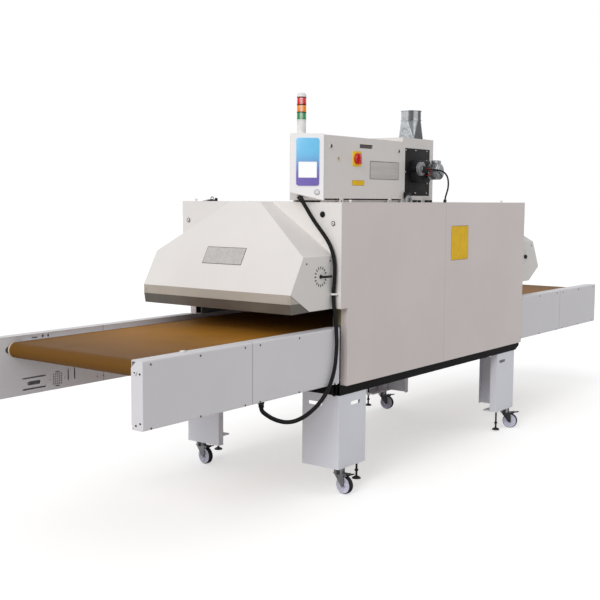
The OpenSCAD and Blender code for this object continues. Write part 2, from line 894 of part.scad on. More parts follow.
module fan_motor() {
    low = body_top + fan_base_t;
    color("#5f6b73") difference() {
        union() {
            block([-fan_base / 2, -fan_base / 2, body_top], [fan_base / 2, fan_base / 2, low]);
            bar_z(fan_motor_d, low - over, low + fan_motor_h, 0, 0);
            for (k = [1 : fan_fin_count])
                bar_z(fan_motor_d + 2 * fan_fin_out, low + k * fan_motor_h / (fan_fin_count + 1),
                    low + k * fan_motor_h / (fan_fin_count + 1) + fan_fin_t, 0, 0);
            bar_z(fan_cap_d, low + fan_motor_h - over, low + fan_motor_h + fan_cap_h, 0, 0);
            translate([fan_motor_d / 2 - fan_fin_out, -fan_box[1] / 2, low + fan_motor_h / 2])
                cube(fan_box);
        }
        bar_z(fan_shaft_d + 2 * fit, body_top - over, low + fan_shaft_grip, 0, 0);
    }
}

// Hood over a tunnel mouth, drawn for the outfeed end: a sloping front, two shoulders and two sides
module hood_solid(inset) {
    out = inset * sqrt(1 + hood_slope * hood_slope);
    lean = inset * sqrt(1 + shoulder_slope * shoulder_slope);
    drop = inset > 0 ? over : 0;
    intersection() {
        wall_y(-hood_y - over, hood_y + over) polygon([
            [body_x - drop, mouth_top - 2 * drop], [body_x + heel_out - out, mouth_top - 2 * drop],
            [body_x + lip_out - out + drop * hood_slope, lip_z - 2 * drop],
            [body_x + hood_top_out - out, body_top], [body_x - drop, body_top]]);
        wall_x(body_x - over, body_x + lip_out + over) polygon([
            [inset - hood_y, mouth_top - 3 * over],
                [inset - hood_y, knee_z - (lean - inset) / shoulder_slope],
            [-ridge_y, body_top - lean / shoulder_slope], [ridge_y, body_top - lean / shoulder_slope],
            [hood_y - inset, knee_z - (lean - inset) / shoulder_slope],
                [hood_y - inset, mouth_top - 3 * over]]);
    }
}
module hood() {
    difference() {
        hood_solid(0);
        hood_solid(hood_sheet);
        both_sides() for (k = [0 : vent_count - 1])
            bar_y(vent_d, hood_y - 2 * hood_sheet, hood_y + over,
                body_x + vent_out + vent_ring_r * cos(360 * k / vent_count),
                vent_z + vent_ring_r * sin(360 * k / vent_count));
    }
}
// Ring of small vent holes in a hood's side, round the place where the sensor wire leaves
module infeed_hood() {
    color("#e6e4e1") {
        mirror([1, 0, 0]) hood();
        translate([-body_x - vent_out, -hood_y, vent_z]) sensor_elbow();
    }
}
module outfeed_hood() {
    color("#e6e4e1") {
        hood();
        bar_y(knob_out_d, -hood_y - sensor_t, hood_sheet - hood_y, body_x + vent_out + knob_shift, vent_z);
    }
}
// Bent outlet of the sensor wire, pointing at the conduit
module sensor_elbow() {
    bar_y(sensor_elbow_d, -sensor_elbow_d, hood_sheet, 0, 0);
    translate([sensor_elbow_r, -sensor_elbow_d, 0]) rotate([0, 0, 180])
        rotate_extrude(angle = 90) translate([sensor_elbow_r, 0]) circle(d = sensor_elbow_d);
    translate([sensor_elbow_r, -sensor_elbow_d - sensor_elbow_r, 0]) rotate([0, 90, 0])
        cylinder(d = sensor_elbow_d, h = vent_ring_r);
}

// Stainless lip under the infeed hood's front edge, with its triangular ends, drawn for the other end
module lip() {
    x1 = body_x + lip_out;
    t = hood_sheet;
    y1 = hood_y - t;
    z1 = lip_z - seat;
    rise = (lip_z - mouth_top) / (lip_out - heel_out);
    lip_bend = lip_bottom + lip_bend_up;
    wall_y(-y1, y1) polygon([
        [x1 - t, z1 - t * rise], [x1, z1], [x1, lip_bend], [x1 - lip_lean, lip_bottom], [x1 - lip_lean - t,
            lip_bottom], [x1 - t, lip_bend]]);
    both_sides() wall_y(y1 - t, y1) polygon([
        [x1 - t / 2, z1 - t], [x1 - t / 2, lip_bend], [x1 - lip_lean - t / 2, lip_bottom],
            [body_x + heel_out, mouth_top - t]]);
    both_sides() for (z = [lip_bend + lip_screw_in, lip_z - lip_screw_down])
        bar_x(lip_screw_d, x1 - t, x1 + lip_screw_t, y1 - lip_screw_in, z);
}
module infeed_lip() color("#8c857c") mirror([1, 0, 0]) lip();

// Channel rail, drawn for the far side, punched at both ends
module rail() {
    y1 = rail_y + rail_flange;
    foot = cover_bottom + rail_sheet;
    color("#dfe1e3") difference() {
        union() {
            block([-rail_end, rail_y, rail_low], [rail_end, rail_y + rail_sheet, rail_high]);
            block([-rail_end, rail_y, rail_low], [rail_end, y1, rail_low + rail_sheet]);
            block([-rail_end, rail_y, rail_high - rail_sheet], [rail_end, y1, rail_high]);
        }
        both_ends() wall_y(rail_y - over, rail_y + rail_sheet + over) translate([-end_x, foot])
            rail_punches();
        both_ends() wall_y(rail_y - over, rail_y + rail_sheet + over) translate([-roller_x, roller_z])
            slot_shape(take_up[0], take_up[1]);
    }
}
module rail_punches() {
    for (dz = [0, -2 * (long_slot[2] - oval_slot[2])])
        translate([(long_slot[0] + long_slot[1]) / 2, long_slot[2] + dz])
            slot_shape(long_slot[1] - long_slot[0], punch_w);
    translate([(oval_slot[0] + oval_slot[1]) / 2, oval_slot[2]]) slot_shape(oval_slot[1] - oval_slot[0],
        oval_slot[3]);
    pitch = mesh_side / mesh_count;
    translate(mesh_place) {
        for (i = [0 : mesh_count - 1], k = [0 : mesh_count - 1])
            translate([(i - (mesh_count - 1) / 2) * pitch, (k - (mesh_count - 1) / 2) * pitch])
                square(mesh_hole, center = true);
        for (s = [-1, 1]) translate([0, s * mesh_slot[1]]) slot_shape(mesh_slot[0], mesh_slot[2]);
        for (s = [-1, 1]) translate([s * mesh_dot, 0]) circle(d = mesh_slot[2]);
    }
    for (x = [upright_slot[0], upright_slot[1]])
        translate([x, (upright_slot[2] + upright_slot[3]) / 2]) rotate(90)
            slot_shape(upright_slot[3] - upright_slot[2], punch_w);
    for (p = rail_dots) translate(p) circle(d = rail_dot_d);
    translate([(lip_slot[0] + lip_slot[1]) / 2, lip_slot[2]]) slot_shape(lip_slot[1] - lip_slot[0],
        lip_slot[3]);
    for (p = lip_dots) translate(p) circle(d = lip_dot_d);
}
module near_rail() mirror([0, 1, 0]) rail();
module far_rail() rail();

// Folded cover over the outside of a rail, drawn for the far side of the outfeed end
module cover_profile() {
    w = cover_y - rail_y;
    h = cover_top - cover_bottom;
    translate([(cover_y + rail_y) / 2, (cover_top + cover_bottom) / 2]) difference() {
        round_rect(w, h, cover_bend);
        round_rect(w - 2 * rail_sheet, h - 2 * rail_sheet, cover_bend - rail_sheet);
        translate([-w / 2, 0]) square([2 * cover_bend, h - 2 * rail_sheet], center = true);
    }
    translate([rail_y, cover_top - rail_sheet]) square([cover_bend, rail_sheet]);
    translate([rail_y, cover_bottom]) square([cover_bend, rail_sheet]);
}
// End cap with its corner cut off beside the belt
module cap_profile() {
    w = cover_y - rail_y;
    h = cover_top - cover_bottom;
    difference() {
        translate([(cover_y + rail_y) / 2, (cover_top + cover_bottom) / 2]) round_rect(w, h, cover_bend);
        polygon([[rail_y - over, cover_top - cap_chamfer - over], [rail_y + cap_chamfer + over,
            cover_top + over], [rail_y - over, cover_top + over]]);
        polygon([[rail_y - over, cover_bottom + cap_foot + over], [rail_y + cap_foot + over,
            cover_bottom - over], [rail_y - over, cover_bottom - over]]);
    }
}
module covers() {
    color("#e4e3e5") {
        difference() {
            union() {
                wall_x(cover_seam + cover_gap / 2, end_x - rail_sheet / 2) cover_profile();
                wall_x(end_x - rail_sheet, end_x) cap_profile();
            }
            cap_corner_cut();
        }
        bar_x(cap_bolt_d, end_x - rail_sheet, end_x + cap_bolt_t, cap_bolt_y, cap_bolt_z);
        bar_x(cap_screw_d, end_x - rail_sheet, end_x + cap_screw_t, cap_bolt_y, cap_screw_z);
        wall_x(cover_tail, cover_seam - cover_gap / 2) cover_profile();
    }
}
module cap_corner_cut() {
    wall_x(end_x - rail_sheet - over, end_x + over)
        polygon([[rail_y - over, cover_top - cap_chamfer - over], [rail_y + cap_chamfer + over,
            cover_top + over], [rail_y - over, cover_top + over]]);
}
module near_infeed_covers() {
    mirror([0, 1, 0]) mirror([1, 0, 0]) covers();
    color("#17171a") gland_at(conduit_route, len(conduit_route) - 1, -1) gland();
}
module near_outfeed_covers() mirror([0, 1, 0]) covers();
module far_infeed_covers() mirror([1, 0, 0]) covers();
module far_outfeed_covers() covers();

// Cable gland below its nose's face, and its place at one end of a cord, with its nose against the cord
module gland() {
    bar_z(gland_d, -gland_nose_h - gland_h - over, -gland_nose_h, 0, 0);
    bar_z(gland_nose_d, -gland_nose_h - gland_h, 0, 0, 0);
}
module gland_at(route, i, step) {
    v = unit(route[i + step] - route[i]);
    translate(route[i]) rotate([0, acos(v[2]), atan2(v[1], v[0])]) children();
}

module belt_bed() {
    y1 = rail_y - seat;
    z1 = belt_top - belt_t - seat;
    color("#9aa0a4") {
        both_ends() {
            block([bed_inner, -y1, z1 - bed_t], [bed_outer, y1, z1]);
            both_sides() block([bed_inner, y1 - bed_t, z1 - bed_hem], [bed_outer, y1, z1 - bed_t + over]);
        }
        for (k = [0 : bar_count - 1]) bar_y(bar_d, -y1, y1, (k - (bar_count - 1) / 2) * bar_pitch,
            z1 - bar_d / 2);
        for (s = return_x_shares) bar_y(bar_d, -y1, y1, s * roller_span,
            belt_top - belt_turn_d - seat - bar_d / 2);
    }
}

module belt_loop(d) {
    translate([0, roller_z]) {
        square([roller_span, d], center = true);
        for (s = [-1, 1]) translate([s * roller_x, 0]) circle(d = d);
    }
}
module conveyor_belt() {
    color("#a8763c") wall_y(-belt_w / 2, belt_w / 2) difference() {
        belt_loop(belt_turn_d);
        belt_loop(belt_inner_d);
    }
}

module drive_roller() {
    color("#d9cdb0") {
        bar_y(roller_d, -roller_y, roller_y, roller_x, roller_z);
        bar_y(shaft_d, -shaft_y, shaft_far_y, roller_x, roller_z);
    }
}
module tail_roller() {
    color("#d9cdb0") {
        bar_y(roller_d, -roller_y, roller_y, -roller_x, roller_z);
        bar_y(shaft_d, -shaft_y, shaft_y, -roller_x, roller_z);
    }
}

module roller_bearings() {
    y0 = rail_y + rail_sheet;
    color("#6e7479") both_ends() both_sides() difference() {
        union() {
            block([roller_x - bearing_w / 2, y0, roller_z - bearing_h / 2], [roller_x + bearing_w / 2,
                y0 + bearing_t - bearing_hub_t, roller_z + bearing_h / 2]);
            bar_y(bearing_hub_d, y0, y0 + bearing_t, roller_x, roller_z);
        }
        bar_y(shaft_d + 2 * fit, y0 - over, y0 + bearing_t + over, roller_x, roller_z);
    }
}

// Worm gear motor carried by the drive roller's shaft, inside the far outfeed cover
module gear_motor() {
    y0 = rail_y + rail_sheet + bearing_t + gear_gap;
    color("#7d858b") difference() {
        union() {
            block([roller_x - gear_w / 2, y0, roller_z - gear_h / 2], [roller_x + gear_w / 2, y0 + gear_t,
                roller_z + gear_h / 2]);
            block([roller_x - gear_w / 2, y0, roller_z - gear_drop - gear_motor_d / 2],
                [roller_x + gear_w / 4, y0 + gear_t, roller_z]);
            bar_x(gear_motor_d, roller_x - gear_w / 2 - gear_motor_l, roller_x, y0 + gear_t / 2,
                roller_z - gear_drop);
        }
        bar_y(shaft_d + 2 * fit, y0 - over, y0 + gear_t + over, roller_x, roller_z);
        block([roller_x - gear_w - gear_motor_l, cover_y - rail_sheet - seat, roller_z - gear_w * 2],
            [roller_x + gear_w, cover_y + over, roller_z]);
    }
    color("#7d858b") difference() {
        block([roller_x - gear_w / 2 - gear_motor_l / 2, rail_y + rail_sheet,
            roller_z - gear_drop - gear_motor_d / 4],
            [roller_x - gear_w / 2 - gear_motor_l / 4, y0 + gear_t / 2,
                roller_z - gear_drop + gear_motor_d / 4]);
        bar_x(gear_motor_d - over, roller_x - gear_w / 2 - gear_motor_l, roller_x, y0 + gear_t / 2,
            roller_z - gear_drop);
    }
}

// Sheet-metal leg: two outer faces, their returns, a post and two strips; the outer faces are at +X and +Y
module leg_form(x1, swivel, foot_place, grip) {
    x0 = x1 - leg_l;
    y0 = leg_y - leg_w;
    t = leg_sheet;
    sx = x1 - swivel;
    fx = x1 - foot_place;
    grip_z = leg_top - grip_drop;
    color("#d3d3d8") difference() {
        union() {
            block([x1 - t, y0, leg_bottom], [x1, leg_y, leg_top]);
            block([x0, leg_y - t, leg_bottom], [x1, leg_y, leg_top]);
            block([x0, leg_y - leg_return_x, leg_bottom], [x0 + t, leg_y, leg_top]);
            block([x1 - leg_return_y, y0, leg_bottom], [x1, y0 + t, leg_top]);
            block([x0, leg_y - leg_strip, leg_bottom], [x1, leg_y, leg_bottom + leg_plate]);
            block([x0, leg_y - leg_strip, leg_top - leg_lid], [x1, leg_y, leg_top]);
            block([sx - leg_post / 2, swivel_y - leg_post / 2, leg_bottom], [sx + leg_post / 2,
                swivel_y + leg_post / 2, leg_top]);
            block([sx - mount_w / 2, swivel_y - mount_w / 2, leg_bottom - mount_t], [sx + mount_w / 2,
                swivel_y + mount_w / 2, leg_bottom + over]);
            bar_z(king_d, crown_z + crown_t / 2, leg_bottom + over, sx, swivel_y);
            bar_z(boss_d, leg_bottom - boss_h, leg_bottom + over, fx, foot_y);
        }
        wall_y(leg_y - t - over, leg_y + over) translate([x1 - grip, grip_z]) slot_shape(grip_l, grip_h);
        wall_x(x1 - t - over, x1 + over) translate([leg_y - grip_in[0], grip_z]) slot_shape(grip_l, grip_h);
        bar_z(rod_d + 2 * fit, leg_bottom - boss_h - over, leg_bottom + leg_plate + over, fx, foot_y);
    }
}
// Turns a piece drawn for the +X, +Y corner to its own corner
module to_corner(c) {
    mirror([corner_side[c][0] < 0 ? 1 : 0, 0, 0]) mirror([0, corner_side[c][1] < 0 ? 1 : 0, 0]) children();
}
module leg(c) to_corner(c) leg_form(corner_x[c], corner_swivel[c], foot_in[c], grip_in[c % 2]);
module near_infeed_leg() leg(0);
module near_outfeed_leg() leg(1);
module far_infeed_leg() leg(2);
module far_outfeed_leg() leg(3);

// Levelling foot at one corner: pad, threaded rod and lock nut
module foot(c) {
    translate([corner_side[c][0] * (corner_x[c] - foot_in[c]), corner_side[c][1] * foot_y, foot_rests[c]])
        color("#1b1b1c") {
        cylinder(d = pad_d, h = pad_h_low);
        translate([0, 0, pad_h_low]) cylinder(d1 = pad_d, d2 = pad_top_d, h = pad_h_high);
        bar_z(rod_d, pad_h_low, rod_l, 0, 0);
        translate([0, 0, pad_h_low + pad_h_high + nut_up]) cylinder(d = nut_d, h = nut_h, $fn = 6);
    }
}
module near_infeed_foot() foot(0);
module near_outfeed_foot() foot(1);
module far_infeed_foot() foot(2);
module far_outfeed_foot() foot(3);

// Moves a caster piece to its corner and turns it to its trail's direction
module at_corner(c) {
    translate([corner_side[c][0] * (corner_x[c] - corner_swivel[c]), corner_side[c][1] * swivel_y, 0])
        rotate([0, 0, caster_turns[c]]) children();
}
// Swivel fork with its axle; the trail is along +X
module fork() {
    race_top = leg_bottom - mount_t - seat;
    y1 = cheek_y + cheek_t;
    color("#b9bcc0") {
        difference() {
            union() {
                bar_z(race_d, crown_z, race_top, 0, 0);
                block([-crown_back, -y1, crown_z], [crown_front, y1, crown_z + crown_t]);
                both_sides() cheek();
            }
            bar_z(king_d + 2 * fit, crown_z + crown_t / 2 - seat, race_top + over, 0, 0);
            bar_y(pedal_pin_d + 2 * fit, -y1 - over, y1 + over, pedal_x, pedal_z);
        }
        bar_y(axle_d, -y1, y1, trail, wheel_d / 2);
        both_sides() bar_y(axle_head_d, y1 - over, y1 + axle_head_t, trail, wheel_d / 2);
    }
}
module cheek() {
    wall_y(cheek_y, cheek_y + cheek_t) {
        polygon([
            [-crown_back, crown_z + crown_t], [trail - cheek_foot_r, wheel_d / 2 - cheek_foot_r / 2],
                [trail, wheel_d / 2 - cheek_foot_r],
            [trail + cheek_foot_r, wheel_d / 2], [crown_front, crown_z], [pedal_x, pedal_z - lug_r],
            [pedal_x, crown_z + crown_t], [crown_front, crown_z + crown_t]]);
        translate([trail, wheel_d / 2]) circle(cheek_foot_r);
        translate([pedal_x, pedal_z]) circle(lug_r);
    }
}
module wheel() {
    color("#c9c6dc") difference() {
        union() {
            bar_y(wheel_d, -wheel_w / 2, wheel_w / 2, trail, wheel_d / 2);
            bar_y(hub_d, -wheel_w / 2 - hub_w_extra, wheel_w / 2 + hub_w_extra, trail, wheel_d / 2);
        }
        both_sides() difference() {
            bar_y(wheel_d - 2 * tread_t, web_t / 2, wheel_w / 2 + over, trail, wheel_d / 2);
            bar_y(hub_d, web_t / 2 - over, wheel_w, trail, wheel_d / 2);
        }
        bar_y(axle_d + 2 * fit, -wheel_w, wheel_w, trail, wheel_d / 2);
    }
}
// Brake pedal with its pin; it is pressed down at its outer end
module brake() {
    y1 = cheek_y + cheek_t;
    w = pedal_w / 2;
    color("#1b1b1c") {
        bar_y(pedal_boss_d, -w, w, pedal_x, pedal_z);
        bar_y(pedal_pin_d, -y1, y1, pedal_x, pedal_z);
        wall_y(-w, w) polygon([
            [pedal_x, pedal_z + pedal_boss_d / 2], [pedal_x, pedal_z], [pedal_x + pedal_l,
                pedal_z + pedal_rise - pedal_t],
            [pedal_x + pedal_l, pedal_z + pedal_rise]]);
        bar_y(shoe_d, -w, w, pedal_x + shoe_out * cos(shoe_angle), pedal_z + shoe_out * sin(shoe_angle));
    }
}
module near_infeed_fork() at_corner(0) fork();
module near_outfeed_fork() at_corner(1) fork();
module far_infeed_fork() at_corner(2) fork();
module far_outfeed_fork() at_corner(3) fork();
module near_infeed_wheel() at_corner(0) wheel();
module near_outfeed_wheel() at_corner(1) wheel();
module far_infeed_wheel() at_corner(2) wheel();
module far_outfeed_wheel() at_corner(3) wheel();
module near_infeed_brake() at_corner(0) brake();
module near_outfeed_brake() at_corner(1) brake();
module far_infeed_brake() at_corner(2) brake();
module far_outfeed_brake() at_corner(3) brake();

// Electrical cabinet, open on the operator's side, with its devices and hinge knuckles
module cabinet() {
    t = case_sheet;
    y0 = -cabinet_y + t + seat;
    y1 = cabinet_d - cabinet_y;
    color("#d2cfcb") {
        difference() {
            block([-cabinet_x, y0, cabinet_low], [-cabinet_end, y1, cabinet_top]);
            block([t - cabinet_x, y0 - over, cabinet_low + t], [-cabinet_end - t, y1 - t, cabinet_top - t]);
        }
        block([-cabinet_x, -cabinet_y, cabinet_low], [door_gap - cabinet_x, y0 + t, cabinet_top]);
        for (y = [y0 + plinth_in, y1 - 2 * plinth_in])
            block([plinth_in - cabinet_x, y, body_top], [-cabinet_end - plinth_in, y + plinth_in,
                cabinet_low + t]);
        cabinet_devices();
        for (x = hinge_xs) both_knuckles(x);
    }
}
module cabinet_devices() {
    back = -device_y;
    block([2 * plinth_in - cabinet_x, back, cabinet_low + 2 * plinth_in], [-cabinet_end - 2 * plinth_in,
        back + device_plate_t, cabinet_top - 2 * plinth_in]);
    block([-cabinet_x / 2 - cabinet_end / 2 - plinth_in, back + device_plate_t - over,
        cabinet_low + 4 * plinth_in], [-cabinet_x / 2 - cabinet_end / 2 + plinth_in,
        cabinet_d - cabinet_y - case_sheet + over, cabinet_low + 6 * plinth_in]);
    for (s = device_x_shares)
        translate([s * cabinet_l - cabinet_x, back, device_z])
            block([-device_w / 2, -device_d, -device_h / 2], [device_w / 2, over, device_h / 2]);
}
// Two fixed knuckles of a hinge, either side of the door's own knuckle, and the pin through them
module both_knuckles(x) {
    y = -cabinet_y - hinge_out;
    z = cabinet_low + hinge_up;
    for (s = [0, 1]) mirror([s, 0, 0]) translate([s == 0 ? x : -x, 0, 0])
        bar_x(hinge_d, hinge_l / 6 + hinge_knuckle_gap, hinge_l / 2, y, z);
    bar_x(hinge_pin_d, x - hinge_l / 2, x + hinge_l / 2, y, z);
    for (s = [-1, 1]) block([x + s * hinge_l / 3 - hinge_l / 6 + hinge_knuckle_gap, y,
        body_top + case_sheet], [x + s * hinge_l / 3 + hinge_l / 6 - hinge_knuckle_gap,
        -cabinet_y + case_sheet + seat + over, z - hinge_pin_d]);
    for (s = [-1, 1]) block([x + s * hinge_l / 3 - hinge_l / 6 + hinge_knuckle_gap, y - hinge_d / 4,
        body_top + case_sheet], [x + s * hinge_l / 3 + hinge_l / 6 - hinge_knuckle_gap, y + hinge_d / 4,
        z]);
}

// Drop-down door with its hem, locks, recessed grip and the yellow plate of the main switch
module cabinet_door() {
    t = case_sheet;
    x0 = -cabinet_x + door_gap + door_clear;
    x1 = -cabinet_end - door_clear;
    z0 = cabinet_low + hinge_up + hinge_d / 2 + door_clear;
    z1 = cabinet_top - door_clear;
    y0 = -cabinet_y;
    color("#c9c6c2") {
        difference() {
            union() {
                block([x0, y0, z0], [x1, y0 + t, z1]);
                for (x = [x0 + door_lock_in, x1 - door_lock_in]) bar_y(door_lock_d, y0 - lock_proud, y0 + t,
                    x, z1 - door_lock_drop);
                block([recess_x - recess_l / 2, y0, z1 - recess_drop - recess_h / 2],
                    [recess_x + recess_l / 2, y0 + recess_d, z1 - recess_drop + recess_h / 2]);
                block([switch_x - switch_plate / 2, y0 - switch_plate_t, switch_z - switch_plate / 2],
                    [switch_x + switch_plate / 2, y0 + t, switch_z + switch_plate / 2]);
            }
            block([recess_x - recess_l / 2 + t, y0 - over, z1 - recess_drop - recess_h / 2 + t],
                [recess_x + recess_l / 2 - t, y0 + recess_d - t, z1 - recess_drop + recess_h / 2 - t]);
            bar_y(switch_shaft_d + 2 * fit, y0 - 2 * switch_plate_t, y0 + t + over, switch_x, switch_z);
        }
        for (x = hinge_xs) door_knuckle(x, z0);
    }
}
module door_knuckle(x, z0) {
    y = -cabinet_y - hinge_out;
    z = cabinet_low + hinge_up;
    w = hinge_l / 6 - hinge_knuckle_gap / 2;
    difference() {
        union() {
            bar_x(hinge_d, x - w, x + w, y, z);
            block([x - w, y - hinge_d / 2, z], [x + w, y + hinge_out, z0 + hinge_d]);
            block([x - w, y, z0], [x + w, y + hinge_out + over, z0 + hinge_d]);
        }
        bar_x(hinge_pin_d + 2 * fit, x - hinge_l, x + hinge_l, y, z);
    }
}

module switch_knob() {
    y0 = -cabinet_y - switch_plate_t - seat;
    color("#c4161c") {
        bar_y(knob_d, y0 - knob_base_t, y0, switch_x, switch_z);
        bar_y(knob_top_d, y0 - knob_base_t - knob_grip_h / 3, y0 - knob_base_t + over, switch_x, switch_z);
        block([switch_x - knob_grip_w / 2, y0 - knob_base_t - knob_grip_h, switch_z - knob_grip_l / 2],
            [switch_x + knob_grip_w / 2, y0 - over, switch_z + knob_grip_l / 2]);
        bar_y(switch_shaft_d, y0 - over, y0 + knob_shaft_l, switch_x, switch_z);
    }
}

// Turns a flat shape, whose X runs from the console's right edge to its left, into a plate on its face
module on_console(out, thick) {
    p = console_r + out * console_n;
    translate([p[0], p[1], 0]) rotate([0, 0, 90 + console_turn]) rotate([90, 0, 0]) linear_extrude(thick)
        children();
}
module console_prism(inset) {
    r = console_r + inset * (console_u - console_n);
    l = console_l - inset * (console_u + console_n);
    b = console_back + [inset > 0 ? over : 0, -2 * inset];
    linear_extrude(console_top - inset) polygon([r, [-cabinet_x + (inset > 0 ? over : 0), r[1]], b, l]);
}
module console_under(lift) {
    reach = console_w;
    wall_y(-body_y, body_y) polygon([
        [-cabinet_x + reach, cabinet_low + lift - reach * console_rise / reach_out], [-cabinet_x - reach,
            cabinet_low + lift + reach * console_rise / reach_out],
        [-cabinet_x - reach, console_top + over], [-cabinet_x + reach, console_top + over]]);
}
module console() {
    color("#ecebea") difference() {
        union() {
            intersection() {
                console_prism(0);
                console_under(0);
            }
            on_console(button_ring_t, button_ring_t + over) translate([button_from_r, button_z])
                circle(d = button_ring_d);
            gland_at(conduit_route, 0, 1) gland();
        }
        intersection() {
            console_prism(case_sheet);
            console_under(case_sheet);
        }
        on_console(over, 2 * over + case_sheet) translate([button_from_r, button_z])
            circle(d = button_stem_d + 2 * fit);
        on_console(button_ring_t + over, button_ring_t + over) translate([button_from_r, button_z])
            circle(d = button_d + 2 * fit);
    }
}
module touch_panel() {
    color("#7ab8ee") on_console(touch_t + seat, touch_t)
        translate([touch_from_r + touch_w / 2, touch_low + touch_h / 2]) round_rect(touch_w, touch_h,
        touch_r);
    color("#f4f6f8") on_console(touch_t + seat + lcd_t, lcd_t + over)
        translate([touch_from_r + touch_w / 2, touch_low + lcd_up + lcd_h / 2])
        square([lcd_w, lcd_h], center = true);
}
module push_button() {
    color("#f2f2f2") {
        on_console(button_out, button_out - button_travel - seat) translate([button_from_r, button_z])
            circle(d = button_d);
        on_console(button_out - over, button_out - over + button_stem_l)
            translate([button_from_r, button_z]) circle(d = button_stem_d);
    }
}

module signal_tower() {
    p = console_l - tower_from_l * console_u - tower_in * console_n;
    pitch = tower_lens_h + tower_ring_h;
    translate([p[0], p[1], console_top]) {
        color("#d8d6d4") cylinder(d = tower_d, h = tower_foot_h);
        for (k = [0 : 2]) translate([0, 0, tower_foot_h + k * pitch]) {
            color(["#1f9a68", "#f0a020", "#c9202a"][k]) cylinder(d = tower_d, h = tower_lens_h);
            color("#26262a") translate([0, 0, tower_lens_h - over])
                cylinder(d = tower_d - 2 * tower_ring_in, h = tower_ring_h + 2 * over);
        }
        color("#e8e6e2") translate([0, 0, tower_foot_h + 3 * pitch])
            cylinder(d1 = tower_d, d2 = tower_d - 2 * tower_cap_in, h = tower_cap_h);
    }
}

// Housing round the burner, open in front and below, standing on the top cover
module burner_housing() {
    t = case_sheet;
    x0 = seat - housing_x;
    x1 = x0 + housing_l;
    y1 = housing_d - cabinet_y;
    m = housing_mouth;
    color("#d6d3cf") difference() {
        block([x0, -cabinet_y, body_top], [x1, y1, housing_top]);
        block([x0 + t, t - cabinet_y, body_top - over], [x1 - t, y1 - t, housing_top - t]);
        block([x0 + m[0], -cabinet_y - over, body_top + m[2]], [x1 - m[1], t + over - cabinet_y,
            housing_top - m[3]]);
        bar_z(flue_d - 4 * flue_sheet, housing_top - 2 * t, housing_top + over, flue_x, -flue_y);
    }
}
// Burner on its black mounting plate: head, flame tube, gas valve, link box and motor
module burner() {
    t = case_sheet;
    x0 = seat - housing_x + t + seat;
    x1 = x0 + housing_l - 2 * t - 2 * seat;
    y0 = -cabinet_y + t + seat;
    color("#2a2b2e") {
        block([x0, y0, body_top + seat], [x1, y0 + burner_plate_t, housing_top - t - seat]);
        block([burner_x - head_w / 2, y0 - head_out, burner_z - head_h / 2], [burner_x + head_w / 2,
            y0 + head_in, burner_z + head_h / 2]);
        bar_y(flame_d, y0, y0 + head_in + flame_l, burner_x, burner_z);
        bar_y(neck_d, -burner_motor_y - over, y0, burner_motor_x, burner_z);
        block([link_x, -link_y - link_box[1] / 2, link_z], [link_x + link_box[0], y0 - head_out + over,
            link_z + link_box[2]]);
    }
    color("#c7cacc") {
        bar_y(burner_motor_d, -burner_motor_y - burner_motor_l, -burner_motor_y, burner_motor_x, burner_z);
        bar_y(burner_cap_d, -burner_motor_y - burner_motor_l - burner_cap_t, -burner_motor_y,
            burner_motor_x, burner_z);
    }
    color("#8b8b8e") {
        bar_y(valve_d, y0 - head_out - valve_t, y0 - head_out + over, valve_x, valve_z);
        bar_y(valve_neck_d, y0 - head_out, y0, valve_x, valve_z);
    }
}

// Flue: a square base that becomes round, and its collar
module flue_form(inset, low, high) {
    hull() {
        translate([0, 0, low]) linear_extrude(flue_sheet) square(flue_base - 2 * inset, center = true);
        translate([0, 0, high - flue_sheet]) cylinder(d = flue_d - 2 * inset, h = flue_sheet, $fn = 32);
    }
}
module exhaust_stack() {
    color("#c3c7ca") translate([flue_x, -flue_y, 0]) {
        difference() {
            union() {
                flue_form(0, housing_top, flue_mid);
                translate([0, 0, housing_top]) linear_extrude(flue_flange_t)
                    square(flue_base + 2 * flue_flange, center = true);
                bar_z(flue_d, flue_mid - flue_sheet, flue_top, 0, 0);
                bar_z(flue_d + 2 * flue_bead, flue_mid, flue_mid + flue_bead_h, 0, 0);
                bar_z(flue_d + 2 * flue_bead, flue_top - flue_bead_h, flue_top, 0, 0);
            }
            flue_form(2 * flue_sheet, housing_top - over, flue_mid);
            bar_z(flue_d - 4 * flue_sheet, flue_mid - flue_sheet - over, flue_top + over, 0, 0);
        }
    }
}

module conduit() color("#141416") tube(conduit_route, conduit_d, conduit_sides);
module motor_lead() color("#141416") tube(lead_route, lead_d, lead_sides);

base_frame();
near_side_panel();
far_side_panel();
infeed_end_plate();
outfeed_end_plate();
top_cover();
oven_chamber();
insulation();
air_box();
fan_wheel();
fan_motor();
infeed_hood();
outfeed_hood();
infeed_lip();
near_rail();
far_rail();
near_infeed_covers();
near_outfeed_covers();
far_infeed_covers();
far_outfeed_covers();
belt_bed();
conveyor_belt();
drive_roller();
tail_roller();
roller_bearings();
gear_motor();
near_infeed_leg();
near_outfeed_leg();
far_infeed_leg();
far_outfeed_leg();
near_infeed_foot();
near_outfeed_foot();
far_infeed_foot();
far_outfeed_foot();
near_infeed_fork();
near_outfeed_fork();
far_infeed_fork();
far_outfeed_fork();
near_infeed_wheel();
near_outfeed_wheel();
far_infeed_wheel();
far_outfeed_wheel();
near_infeed_brake();
near_outfeed_brake();
far_infeed_brake();
far_outfeed_brake();
cabinet();
cabinet_door();
switch_knob();
console();
touch_panel();
push_button();
signal_tower();
burner_housing();
burner();
exhaust_stack();
conduit();
motor_lead();
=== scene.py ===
"""Looks of the conveyor dryer: finishes for its frame, its detailed pieces, and the stage."""

import math
from itertools import product

import bmesh
import bpy
from mathutils import Matrix, Vector


